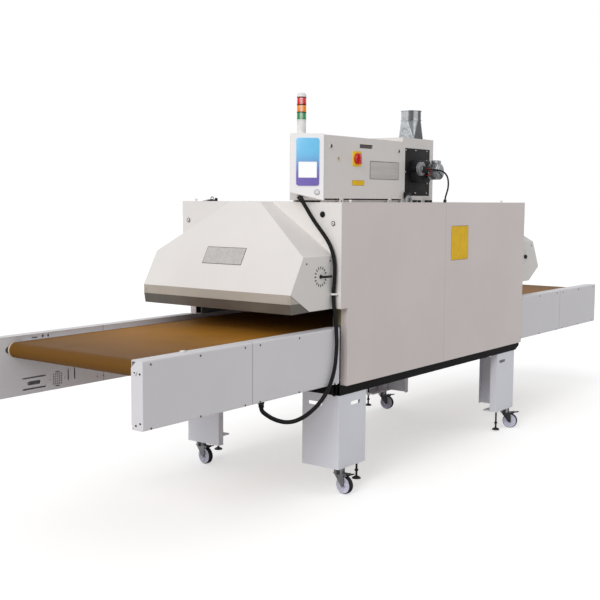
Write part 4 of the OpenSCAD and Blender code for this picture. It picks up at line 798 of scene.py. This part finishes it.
CONDUIT_ROUTE = [(-1172, -352, 1584), (-1168, -361, 1568), (-1163, -374, 1546), (-1157, -394, 1513),
    (-1152, -419, 1477), (-1147, -448, 1441), (-1143, -479, 1403), (-1141, -508, 1362),
    (-1140, -528, 1318), (-1139, -539, 1273), (-1139, -542, 1225), (-1139, -541, 1175),
    (-1139, -538, 1137), (-1139, -536, 1099), (-1140, -538, 1060), (-1144, -546, 1015),
    (-1149, -557, 970), (-1154, -566, 925), (-1157, -571, 880), (-1158, -573, 832),
    (-1163, -573, 780), (-1172, -573, 725), (-1191, -573, 672), (-1220, -572, 622),
    (-1258, -569, 578), (-1306, -566, 542), (-1362, -561, 512), (-1424, -556, 491),
    (-1490, -550, 481), (-1552, -546, 486), (-1606, -542, 501), (-1652, -536, 521),
    (-1688, -530, 543), (-1712, -525, 562), (-1721, -523, 576), (-1722, -523, 586)]


LEAD_ROUTE = [(-205, -530, 1775), (-190, -530, 1775), (-176, -538, 1775), (-167, -554, 1775),
    (-160, -573, 1774), (-149, -590, 1772), (-131, -600, 1768), (-106, -604, 1761),
    (-80, -604, 1750), (-56, -602, 1734), (-36, -597, 1714), (-18, -589, 1690), (-4, -579, 1664),
    (6, -566, 1638), (10, -556, 1614), (10, -554, 1598)]


def smooth_route(route, steps=8):
    """Points in metres on a smooth curve through a route in millimetres."""
    points = [Vector(p) * MM for p in route]
    ends = [points[0] * 2 - points[1], *points, points[-1] * 2 - points[-2]]
    line = []
    for k in range(len(points) - 1):
        before, start, end, after = ends[k : k + 4]
        for s in range(steps):
            t = s / steps
            slope, bend = end - before, 2 * before - 5 * start + 4 * end - after
            twist = 3 * start - before - 3 * end + after
            line.append(0.5 * (2 * start + slope * t + bend * t**2 + twist * t**3))
    line.append(points[-1])
    return line


def ring_centres(tube, sides):
    """Centres of the rings of a swept tube, in their order."""
    places = [v.co for v in tube.data.vertices]
    return [sum(places[k : k + sides], Vector()) / sides for k in range(0, len(places), sides)]


def route_curve(name, line):
    data = bpy.data.curves.new(name, "CURVE")
    data.dimensions = "3D"
    spline = data.splines.new("POLY")
    spline.points.add(len(line) - 1)
    for point, place in zip(spline.points, line):
        point.co = (*place, 1.0)
    return show(name, data)


# Operators


class DryerOperator(bpy.types.Operator):
    """Base of the dryer's operators"""

    bl_options = {"REGISTER", "UNDO"}


def key_light(context, stage):
    sun = bpy.data.lights.new("key_light", "SUN")
    sun.energy = stage.sun
    sun.angle = math.radians(34)
    holder = show("key_light", sun)
    holder.rotation_mode = "QUATERNION"
    holder.rotation_quaternion = Vector((-0.84, -0.13, 0.53)).to_track_quat("Z", "Y")
    world = bpy.data.worlds.new("studio")
    world.use_nodes = True
    tree = world.node_tree
    tree.nodes.clear()
    rays = ("Is Camera Ray", "Is Glossy Ray", "Is Transmission Ray")
    seen, *others = (add_node(tree, "ShaderNodeLightPath", {}, {}, ray) for ray in rays)
    for other in others:
        seen = add_node(tree, "ShaderNodeMath", {"operation": "MAXIMUM"}, {0: seen, 1: other})
    lights = [{"Color": (1, 1, 1, 1), "Strength": strength} for strength in (stage.sky, 1.0)]
    soft, white = (add_node(tree, "ShaderNodeBackground", {}, light) for light in lights)
    mix = add_node(tree, "ShaderNodeMixShader", {}, {0: seen, 1: soft, 2: white})
    add_node(tree, "ShaderNodeOutputWorld", {}, {0: mix})
    context.scene.world = world


def floor(context, stage):
    made = Finish("floor_white")
    grain = made.noise(3.0, 2.0)
    made.set(base_color=made.mix(grain, (0.8, 0.8, 0.8), (0.82, 0.82, 0.82)), roughness=0.9)
    made.gloss(0.0)
    seen = made.node("ShaderNodeLightPath", {}, {}, "Is Camera Ray")
    glow = made.node("ShaderNodeEmission", {}, {"Color": (1, 1, 1, 1),
        "Strength": seen * stage.floor})
    both = made.node("ShaderNodeAddShader", {}, {0: made.shader.outputs[0], 1: glow})
    feed(made.tree, made.output.inputs[0], both)
    half = FLOOR_WIDTH / 2
    mesh = bpy.data.meshes.new("floor")
    mesh.from_pydata([(-half, -half, 0), (half, -half, 0), (half, half, 0), (-half, half, 0)], [],
        [(0, 1, 2, 3)])
    mesh.materials.append(made.material)
    show("floor", mesh)


class DRYER_OT_stage(DryerOperator):
    """Set up the camera, the floor and the light"""

    bl_idname = "dryer.stage"
    bl_label = "Stage"

    def execute(self, context):
        stage = context.scene.dryer_stage
        camera = bpy.data.cameras.new("camera")
        camera.lens = stage.lens
        camera.sensor_width = 36.0
        camera.clip_end = 200.0
        holder = show("camera", camera)
        holder.matrix_world = Matrix.Translation(CAMERA_PLACE)
        for angle, axis in CAMERA_TURNS:
            holder.matrix_world @= Matrix.Rotation(math.radians(angle), 4, axis)
        context.scene.camera = holder
        key_light(context, stage)
        floor(context, stage)
        context.scene.view_settings.view_transform = "Standard"
        return {"FINISHED"}


def cord(name, node, route, diameter, sides, **ribs):
    """A cord swept along its route"""
    carrier = route_curve(name + "_line", smooth_route(route))
    material = FINISHES["rubber"]
    made = run_plan(carrier, PLANS["hose"], name, radius=diameter / 2, sides=sides,
        material=material, **ribs)
    settle(made, "machine", [node])
    line = ring_centres(made, sides)
    sum((b - a).length for a, b in zip(line, line[1:]))
    return made


class DRYER_OT_cords(DryerOperator):
    """Make the ribbed conduit and the burner's lead"""

    bl_idname = "dryer.cords"
    bl_label = "Conduit and lead"

    def execute(self, context):
        size = sizes()
        cord("conduit_hose", "conduit", CONDUIT_ROUTE, size.hose, 16, pitch=size.hose_pitch,
            depth=size.hose_depth)
        lead = cord("burner_lead", "motor_lead", LEAD_ROUTE, size.lead, 14, pitch=0.012, depth=0.0)
        lead.data.polygons.foreach_set("use_smooth", [True] * len(lead.data.polygons))
        return {"FINISHED"}


# Ends of node names, by finish
NODE_FINISHES = {"beam": "base_frame", "panel": "side_panel", "hood": "end_plate top_cover hood",
    "sheet": "oven_chamber air_box fan_wheel", "wool": "insulation",
    "motor": "fan_motor roller_bearings gear_motor", "lip": "lip", "cover": "rail covers",
    "bed": "belt_bed", "belt": "conveyor_belt", "sleeve": "drive_roller tail_roller", "leg": "leg",
    "foot": "foot", "zinc": "fork", "nylon": "wheel", "black": "brake",
    "cabinet": "cabinet cabinet_door burner_housing", "red": "switch_knob", "console": "console",
    "foil": "touch_panel", "white": "push_button signal_tower", "casting": "burner",
    "flue": "exhaust_stack", "rubber": "conduit motor_lead"}


class DRYER_OT_finishes(DryerOperator):
    """Give every node of the frame its finish"""

    bl_idname = "dryer.finishes"
    bl_label = "Finishes"

    def execute(self, context):
        finish_of = {end: finish for finish, ends in NODE_FINISHES.items() for end in ends.split()}
        for name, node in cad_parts.items():
            longest = max((end for end in finish_of if name.endswith(end)), key=len)
            node.data.materials.clear()
            node.data.materials.append(FINISHES[finish_of[longest]])
        return {"FINISHED"}


def screw_form(name, diameter, height):
    """A pan head with a crossed recess, standing on Z = 0."""
    form = Form()
    r = diameter / 2
    outline = [(0, 0), (r, 0), (r, height * 0.45), (r * 0.82, height * 0.85), (r * 0.5, height),
        (0, height)]
    form.lathe(outline, (0, 0, 0), steps=16)
    for a, b in ((0.5, 0.1), (0.1, 0.5)):
        form.block((-r * a, -r * b, height * 0.9), (r * a, r * b, height * 1.04), slot=0)
    return form.piece(name, ["zinc"])


# Places across and up, in millimetres
COVER_SCREWS = ((2498, 2189.5, 1881, 1770, 1459, 1147), (900, 625))
HOOD_SCREWS = ((-1357, 1267), (-1151, 1275), (1358, 1272), (1151, 1275))
BURNER_BOLTS = ((-177, 1889), (-46, 1889), (-46, 1831), (-37, 1696), (-132, 1711), (-175, 1636),
    (-46, 1636), (-290, 1889), (-290, 1760), (-290, 1636))


class DRYER_OT_screws(DryerOperator):
    """Set the screws of covers, hoods and burner plate"""

    bl_idname = "dryer.screws"
    bl_label = "Screws"

    def execute(self, context):
        size = sizes()
        spots = [((end * x, side * 555, z), (0, side, 0))
            for x, z, side, end in product(*COVER_SCREWS, (-1, 1), (-1, 1))]
        for x, z in HOOD_SCREWS:
            spots += [((x, HOOD_SIDE, z), NEAR), ((x, -HOOD_SIDE, z), (0, 1, 0))]
        form = screw_form("screw_form", size.screw / MM, size.screw_height / MM)
        scatter("cover_screws", form, spots, "border")
        spots = [((x, BURNER_FACE, z), NEAR) for x, z in BURNER_BOLTS]
        form = screw_form("bolt_form", 12, 5)
        scatter("burner_bolts", form, spots, "bright")
        return {"FINISHED"}


def vent_openings():
    """Black marks in the hood's round vent: painted shade where its openings are"""
    form = Form()
    form.block((40, -3.2, 0.05), (54, 3.2, 0.75), 0.3)
    ring_of("vent_openings", form, "black", 16, VENT, NEAR, "machine")


def cap_bolts():
    """Socket bolts and corner screws of the covers' end caps"""
    form = Form()
    for end, side in product((-1, 1), (-1, 1)):
        place, out = (end * 2553, side * 515, 868), (end, 0, 0)
        form.lathe([(0, 0), (9.4, 0), (9.4, 1.4), (8, 2.2), (4.8, 2.2), (4.8, 0.6), (0, 0.6)],
            place, out, 32)
        form.lathe([(0, 0.5), (4.7, 0.5), (4.7, 1.0), (0, 1.0)], place, out, 6, 1)
        for x, y, z in ((2548, 515, 640), (2545, 538, 862), (2545, 538, 650)):
            spot = (end * x, side * y, z)
            form.lathe([(0, 0), (4.6, 0), (4.2, 1.6), (0, 2)], spot, out, 14, 1)
    form.block((-2256, -511, 918.1), (-2232, -489, 924), 1.5)
    form.settle("cap_bolts", ["white", "black"], "machine", "zinc")


def cord_glands():
    """Black glands of the conduit and of the burner's lead"""
    form = Form()
    for route, end, step in ((CONDUIT_ROUTE, 0, 1), (CONDUIT_ROUTE, len(CONDUIT_ROUTE) - 1, -1)):
        start, ahead = Vector(route[end]), Vector(route[end + step])
        axis = (ahead - start).normalized()
        form.lathe([(0, -33.5), (16.7, -33.5), (16.7, -19), (15.2, -17.6), (0, -17.6)], start, axis,
            8)
        form.lathe([(0, -20), (13.7, -20), (13.7, -0.4), (12.6, 0.8), (0, 0.8)], start, axis, 32)
    last, before = Vector(LEAD_ROUTE[-1]), Vector(LEAD_ROUTE[-2])
    form.lathe([(0, -17.5), (9.6, -17.5), (9.6, -2), (8.6, 0.5), (0, 0.5)], last,
        (before - last).normalized(), 24)
    form.settle("cord_glands", ["rubber"], "machine", "black_rubber")


def roof_latch():
    """Small wedge, eye and knob at the far edge of the roof"""
    form = Form()
    form.prism([(-60, 0), (26, 0), (26, 9), (-4, 13), (-60, 2)], (-905, 528, ROOF), RIGHT, UP,
        (0, 26, 0), 0.8)
    form.lathe([(0, 0), (9, 0), (9, 16), (7, 19), (0, 19)], (-857, 541, ROOF), slot=1)
    ring = [(-893 + 12 * c, 541, 1594 + 12 * s) for c, s in arc(math.pi, 12)]
    form.pipe(ring, 2.4, 10, 1)
    form.settle("roof_latch", ["zinc", "black"], "machine", "zinc")


def vent_fittings():
    """Black elbow that carries the sensor wire to the conduit"""
    corner = [(-1220 - 14 * c, -532 - 14 * s, 1195) for c, s in arc(math.pi / 2, 8)]
    route = [(-1234, -519, 1195), (-1234, -526, 1195), *corner, (-1200, -546, 1195),
        (-1173, -546, 1195)]
    form = Form()
    form.pipe(route, 6.6, 14)
    form.lathe([(0, -1), (11, -1), (11, 3), (9, 5), (0, 5)], VENT, NEAR, 28)
    form.lathe([(0, 0), (13.8, 0), (14.4, 2), (14.4, 10), (13, 13), (0, 13)],
        (1254, HOOD_SIDE, 1195), NEAR, 32)
    form.settle("vent_fittings", ["black"], "machine", "black_plastic")


class DRYER_OT_locks(DryerOperator):
    """Make the quarter-turn locks, the plugs and the roof latches"""

    bl_idname = "dryer.locks"
    bl_label = "Locks and plugs"

    def execute(self, context):
        form = Form()
        bar = [(-6.5, -1.7), (6.5, -1.7), (6.5, 1.7), (-6.5, 1.7)]
        for end, y in product((-1, 1), (519, -519)):
            place, out = (end * 1126, y, 1470), (end, 0, 0)
            form.lathe([(0, -1), (12.5, -1), (12.5, 0.6), (0, 0.6)], place, out, 32)
            form.lathe([(0, 0), (9, 0), (9, 2.2), (8, 3), (0, 3)], place, out, 32, 1)
            start = (end * 1128.5, y, 1470)
            form.prism(bar, start, (0, 0.8, 0.6), (0, -0.6, 0.8), out, 0.2)
        form.settle("panel_locks", ["black", "white"], "machine", "black_plastic")
        form = Form()
        for end in (-1, 1):
            place = (end * 1123, end * 448, 1516)
            form.lathe([(0, -2), (16, -2), (16, 1), (14.5, 3), (10, 4), (0, 4)], place, (end, 0, 0),
                36)
        form.settle("end_plugs", ["black"], "machine", "black_plastic")
        roof_latch()
        vent_fittings()
        vent_openings()
        cap_bolts()
        cord_glands()
        return {"FINISHED"}


# Upright plates: name, centre, width, height, face and body
DOOR_PLATES = (("cabinet_plate", (-523, DOOR_FACE, 1761), 308, 101, "bare", "door"),
    ("panel_label", (179.5, -570, 1330), 219, 213, "label", "machine"),
    ("door_label", (-793, DOOR_FACE, 1687), 121, 29, "label", "door"))


def bare_plate(name, centre, across, up, out, width, height, face, body):
    """A thin plate with a darker border, whose face stands a little proud of it"""
    bare = face == "bare"
    thick = sizes().plate / MM if bare else 0.8
    rim = 3 if width > 150 else 1.6
    form = Form()
    out = Vector(out)
    start = Vector(centre) + out * 0.02
    form.prism(rounded(width, height, 3), start, across, up, out * thick, slot=1)
    inner = rounded(width - 2 * rim, height - 2 * rim, 2)
    form.prism(inner, start + out * (thick - 0.1), across, up, out * 0.35)
    form.settle(name, [face, "border" if bare else "label_edge"], body,
        "stainless" if bare else None, angle=20)


class DRYER_OT_plates(DryerOperator):
    """Make the bare plates on hood, panel and door"""

    bl_idname = "dryer.plates"
    bl_label = "Bare plates"

    def execute(self, context):
        slope = (370 - 105) / (ROOF - 1115)
        along = Vector((-slope, 0, -1)).normalized()
        out = Vector((-1, 0, slope)).normalized()
        top = Vector((-1225 - slope * (ROOF - 1335), 8, 1335))
        bare_plate("hood_plate", top + along * 51, (0, 1, 0), along, out, 276, 102, "bare",
            "machine")
        for name, centre, *rest in DOOR_PLATES:
            bare_plate(name, centre, RIGHT, UP, NEAR, *rest)
        return {"FINISHED"}


def lens_piece(name, foot, material):
    """A lens with upright flutes round a smooth core"""
    form = Form()
    form.lathe([(0, 0.2), (23.4, 0.2), (24.6, 1.2), (24.6, 2.6), (23.4, 3.4), (23.4, 32.6),
        (24.6, 33.4), (24.6, 36), (0, 36)], foot, steps=48)
    form.settle(name, [material], "machine", "lamp")
    form = Form()
    form.block((22.4, -1.2, 3), (24.7, 1.2, 33), 0.7, steps=2)
    ring_of(name + "_flutes", form, material, sizes().flute_count, foot, UP, "machine")


# Height of the tower's tube, and of a lens with its ring, in millimetres
TUBE = 73
LENS_STEP = 39


class DRYER_OT_tower(DryerOperator):
    """Make the signal tower"""

    bl_idname = "dryer.tower"
    bl_label = "Signal tower"

    def execute(self, context):
        low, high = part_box("signal_tower")
        x, y = (low.x + high.x) / 2 / MM, (low.y + high.y) / 2 / MM
        base, top = low.z / MM, high.z / MM
        form = Form()
        form.lathe([(0, 0), (25, 0), (25, 2), (23.6, 4), (23.6, 66), (25, 68), (25, 73), (22, 73),
            (0, 73)], (x, y, base))
        cap = top - 22 - base
        form.lathe([(0, cap - 2), (25, cap - 2), (25, cap + 5), (24, cap + 9), (24, cap + 13),
            (20, cap + 19), (12, cap + 22), (0, cap + 22)], (x, y, base))
        for k in range(3):
            angle = FULL_TURN * k / 3 + 0.4
            spot = (x + 17 * math.cos(angle), y + 17 * math.sin(angle), base + cap + 16)
            form.lathe([(0, 0), (2.6, 0), (2.6, 4), (0, 5)], spot, steps=10)
        form.settle("tower_tube", ["white"], "machine", "lamp", ["signal_tower"])
        form = Form()
        for k in range(3):
            foot = base + TUBE + LENS_STEP * k + 35.5
            form.lathe([(0, 0), (25.2, 0), (25.2, 5), (0, 5)], (x, y, foot - 0.5))
        form.settle("tower_rings", ["black"], "machine", "black_plastic")
        for k, name in enumerate(("green", "amber", "red")):
            foot = base + TUBE + LENS_STEP * k
            lens_piece("tower_lens_" + name, (x, y, foot), "lens_" + name)
        return {"FINISHED"}


CONSOLE_TURN = math.radians(38)
CONSOLE_OUT = Vector((-math.cos(CONSOLE_TURN), -math.sin(CONSOLE_TURN), 0))
CONSOLE_LEFT = Vector((-math.sin(CONSOLE_TURN), math.cos(CONSOLE_TURN), 0))


def on_console(from_right, height, out=0.0):
    """A place on the console's face, in millimetres"""
    return Vector((-1122, DOOR_FACE, height)) + CONSOLE_LEFT * from_right + CONSOLE_OUT * out


class DRYER_OT_console(DryerOperator):
    """Make the touch panel and the push button"""

    bl_idname = "dryer.console"
    bl_label = "Console"

    def execute(self, context):
        form = Form()
        for width, height, radius, middle, out, deep, bevel, slot in (
            (120, 249, 12, 1791.5, 0.3, 4.4, 0.6, 0),  # foil
            (98, 84, 2, 1750, 4.2, 1.0, 0.2, 2),  # frame
            (94, 80, 1, 1750, 5.0, 0.6, 0, 1),  # display
        ):
            outline, centre = rounded(width, height, radius), on_console(84, middle, out)
            form.prism(outline, centre, CONSOLE_LEFT, UP, CONSOLE_OUT * deep, bevel, slot)
        form.settle("touch_foil", ["foil", "display", "white"], "machine", "screen",
            ["touch_panel"])
        form = Form()
        place = on_console(34, 1633, 0)
        form.lathe([(0, -10), (6, -10), (6, 4.3), (11, 4.3), (11, 6.6), (10, 7.7), (8, 8),
            (0, 7.2)], place, CONSOLE_OUT, 40)
        form.settle("start_button", ["white"], "button", "button", ["push_button"])
        form = Form()
        form.lathe([(11.4, 0.02), (14.4, 0.02), (14.4, 3), (13.6, 4.4), (12, 4.7), (11.4, 4.3),
            (11.4, 0.02)], place, CONSOLE_OUT, 40)
        form.settle("button_ring", ["grey"], "machine", "button")
        return {"FINISHED"}


class DRYER_OT_switch(DryerOperator):
    """Make the main switch and the fittings of the door"""

    bl_idname = "dryer.switch"
    bl_label = "Main switch"

    def execute(self, context):
        x, z = -811, 1818
        face = -455.0
        form = Form()
        form.prism(rounded(82, 82, 5), (x, face + 3.2, z), RIGHT, UP, (0, -4.0, 0), 0.8)
        form.settle("switch_plate", ["yellow"], "door")
        form = Form()
        top = face - 1.1
        form.lathe([(0, -22), (5, -22), (5, 0), (31, 0), (31, 8), (29, 11), (25, 12), (24, 14),
            (0, 14)], (x, top, z), NEAR, 48)
        form.prism([(-9, -29), (9, -29), (7, 0), (9, 29), (-9, 29), (-7, 0)], (x, top - 8, z),
            RIGHT, UP, (0, -17, 0), 2.2)
        form.block((x - 1.5, top - 25.4, z + 12), (x + 1.5, top - 24, z + 27), 0.4, 1)
        form.settle("switch_handle", ["red", "white"], "knob", "red_plastic", ["switch_knob"])
        form = Form()
        for lock_x in (-1062, -379):
            form.lathe([(0, 0), (10, 0), (10, 1.5), (8.5, 2.5), (0, 2.5)], (lock_x, -457.8, 1877),
                NEAR, 28, 1)
            form.prism([(-1.6, -6), (1.6, -6), (1.6, 6), (-1.6, 6)], (lock_x, -459.8, 1877),
                (0.8, 0, 0.6), (-0.6, 0, 0.8), (0, -1.2, 0), 0.2, 0)
        form.lathe([(0, -1), (7, -1), (7, 3), (5.5, 4), (0, 4)], (-984, DOOR_FACE, 1815), NEAR, 20,
            1)
        form.block((-986, -459, 1800), (-982, -455, 1822), 0.8, 2)
        form.settle("door_locks", ["black", "zinc", "yellow"], "door", "zinc")
        # Painted shade: a dark grey plate at the back of the grip recess, and a strip under its
        # upper edge
        form = Form()
        form.prism(rounded(133, 23, 3), (-715, -441.2, 1890), RIGHT, UP, (0, -1.4, 0), 0.2)
        form.block((-780, -451.6, 1898.5), (-650, -442, 1901), 0.4)
        form.settle("recess_lining", ["lining"], "door")
        return {"FINISHED"}


def burner_motor():
    """Bright finned motor that stands out of the housing"""
    form = Form()
    form.lathe([(0, -4), (47, -4), (49, -2), (49, 5), (43, 7), (43, 46), (48.5, 48), (48.5, 55),
        (45, 60), (36, 62), (34, 66), (20, 68), (0, 68)], MOTOR, NEAR, 48)
    form.block((-118, -566, 1806), (-68, -524, 1832), 5, steps=3)
    form.settle("burner_motor", ["bright"], "machine", "burner")
    form = Form()
    form.block((41, -1.1, 6), (48.3, 1.1, 47), 0.5)
    ring_of("burner_fins", form, "bright", sizes().fin_count, MOTOR, NEAR, "machine")


def burner_pipes():
    """Gas pipe and wires at the foot of the opening"""
    form = Form()
    arch = [(-296 + 24 * c, -478, 1584 + 30 * s) for c, s in arc(math.pi, 14)]
    form.pipe([(-272, -478, 1580.2), *arch, (-320, -478, 1580.2)], 10, 14, 0)
    for x, width in ((-230, 22), (-176, 16), (-90, 26), (-40, 14)):
        form.block((x, -486, 1580.1), (x + width, -466, 1594), 3, 1)
    loop = [(-205, -540, 1778), (-202, -557, 1781), (-199, -567, 1776), (-198, -571, 1762)]
    form.pipe([*loop, (-197, -567, 1744), (-196, -552, 1738), (-194, -528, 1744),
        (-193, -510, 1760)], 1.3, 10, 2)
    form.settle("burner_pipes", ["valve", "black", "wire"], "machine", "burner")


class DRYER_OT_burner(DryerOperator):
    """Make the burner with its motor, valve and casting"""

    bl_idname = "dryer.burner"
    bl_label = "Burner"

    def execute(self, context):
        form = Form()
        form.block((-327.3, BURNER_FACE, 1580.4), (26.9, BURNER_FACE + 4, 1957.6), 0.8)
        form.block((-225, -499, 1700), (-75, -360, 1830), 9, steps=3)
        form.lathe([(0, 0), (55, 0), (55, 215), (50, 220), (0, 220)], (-150, BURNER_FACE + 1, 1765),
            (0, 1, 0), 40)
        form.lathe([(0, 0), (46, 0), (46, 6), (34, 10), (32, 14), (32, 60), (40, 64), (40, 70),
            (0, 70)], (-93, -446, 1765), NEAR, 40)
        form.block((-214, -544, 1756), (-180, -448, 1794), 3, steps=2)
        form.block((-312, -470, 1604), (-250, -451, 1640), 4, steps=2)
        form.lathe([(0, -4), (26, -4), (26, 50.5), (0, 50.5)], VALVE, NEAR, 32)
        form.settle("burner_casting", ["casting"], "machine", "burner", ["burner"])
        form = Form()
        form.lathe([(0, 0), (25, 0), (25, 50), (38, 52), (40.5, 54), (40.5, 60), (36, 62), (36, 66),
            (40.5, 68), (40.5, 72), (30, 74), (12, 74), (10, 78), (0, 78)], VALVE, NEAR, 40)
        form.settle("gas_valve", ["valve"], "machine", "burner")
        burner_motor()
        burner_pipes()
        return {"FINISHED"}


# Level turn of each wheel's axle from Y, in degrees
AXLE_TURNS = {"near_infeed": -95, "near_outfeed": -75, "far_infeed": -95, "far_outfeed": -80}


def caster_wheel(corner):
    """A wheel of one casting with its tread, and ribs on its disc"""
    low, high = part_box(corner + "_wheel")
    centre = (low + high) / 2 / MM
    turn = math.radians(AXLE_TURNS[corner])
    axis = (-math.sin(turn), math.cos(turn), 0)
    half = 16
    form = Form()
    side = [(38, -half + 1), (40, -half), (45, -half), (49, -half + 3), (50, -half + 6)]
    side = [(0, -17.5), (5.2, -17.5), (13, -17.5), (13, -6), (15, -5), (36, -5), (38, -7), *side]
    form.lathe([*side, *((radius, -height) for radius, height in reversed(side))], centre, axis, 56)
    disc = form.piece(corner + "_wheel_disc", ["nylon", "tread"])
    for polygon in disc.data.polygons:
        reach = (polygon.center / MM - centre).cross(Vector(axis)).length
        if reach > 46.5:
            polygon.material_index = 1
    settle(disc, corner + "_roll", [corner + "_wheel"])
    form = Form()
    form.block((14, -1.6, -12), (38, 1.6, 12), 0.8)
    ring_of(corner + "_wheel_ribs", form, "nylon", sizes().spoke_count, centre, axis,
        corner + "_roll")


class DRYER_OT_casters(DryerOperator):
    """Make the caster wheels with their treads"""

    bl_idname = "dryer.casters"
    bl_label = "Casters"

    def execute(self, context):
        for corner in AXLE_TURNS:
            caster_wheel(corner)
        return {"FINISHED"}


class DRYER_OT_fan_motor(DryerOperator):
    """Give the fan motor its upright fins and terminal box"""

    bl_idname = "dryer.fan_motor"
    bl_label = "Fan motor"

    def execute(self, context):
        form = Form()
        form.block((-100, -100, ROOF), (100, 100, 1588), 2)
        form.lathe([(0, 8), (83, 8), (83, 16), (72, 20), (70, 24), (70, 190), (74, 194), (76, 198),
            (64, 226), (60, 228), (0, 228)], (0, 0, ROOF), steps=48)
        form.block((72, -45, 1683), (133, 45, 1753), 5, steps=3)
        for s, t in ((1, 1), (1, -1), (-1, 1), (-1, -1)):
            form.lathe([(0, 0), (9, 0), (9, 8), (0, 9)], (s * 86, t * 86, 1588), steps=6, slot=1)
        form.settle("fan_motor_case", ["motor", "zinc"], "machine", "motor", ["fan_motor"])
        form = Form()
        form.block((68, -1.4, 26), (82.5, 1.4, 186), 0.6)
        ring_of("fan_motor_fins", form, "motor", 32, (0, 0, ROOF), UP, "machine")
        return {"FINISHED"}


OPERATORS = [DRYER_OT_stage, DRYER_OT_cords, DRYER_OT_finishes, DRYER_OT_screws, DRYER_OT_locks,
    DRYER_OT_plates, DRYER_OT_tower, DRYER_OT_console, DRYER_OT_switch, DRYER_OT_burner,
    DRYER_OT_casters, DRYER_OT_fan_motor]


class DRYER_PT_panel(bpy.types.Panel):
    """Lists the dryer's pieces and their values"""

    bl_label = "Conveyor dryer"
    bl_idname = "DRYER_PT_panel"
    bl_space_type = "VIEW_3D"
    bl_region_type = "UI"
    bl_category = "Dryer"

    def draw(self, context):
        for operator in OPERATORS:
            self.layout.operator(operator.bl_idname)
        for group in (getattr(context.scene, name) for name in GROUPS):
            box = self.layout.box()
            for key in group.__annotations__:
                box.prop(group, key)


GROUPS = {"dryer_colours": DryerColours, "dryer_sizes": DryerSizes, "dryer_stage": DryerStage}
CLASSES = [*GROUPS.values(), *OPERATORS, DRYER_PT_panel]


def register():
    for made in CLASSES:
        bpy.utils.register_class(made)
    for name, group in GROUPS.items():
        setattr(bpy.types.Scene, name, bpy.props.PointerProperty(type=group))


def unregister():
    for name in GROUPS:
        delattr(bpy.types.Scene, name)
    for made in reversed(CLASSES):
        bpy.utils.unregister_class(made)


def main():
    register()
    make_finishes()
    make_plans()
    for operator in OPERATORS:
        group, name = operator.bl_idname.split(".")
        getattr(getattr(bpy.ops, group), name)()


if __name__ == "__main__":
    main()
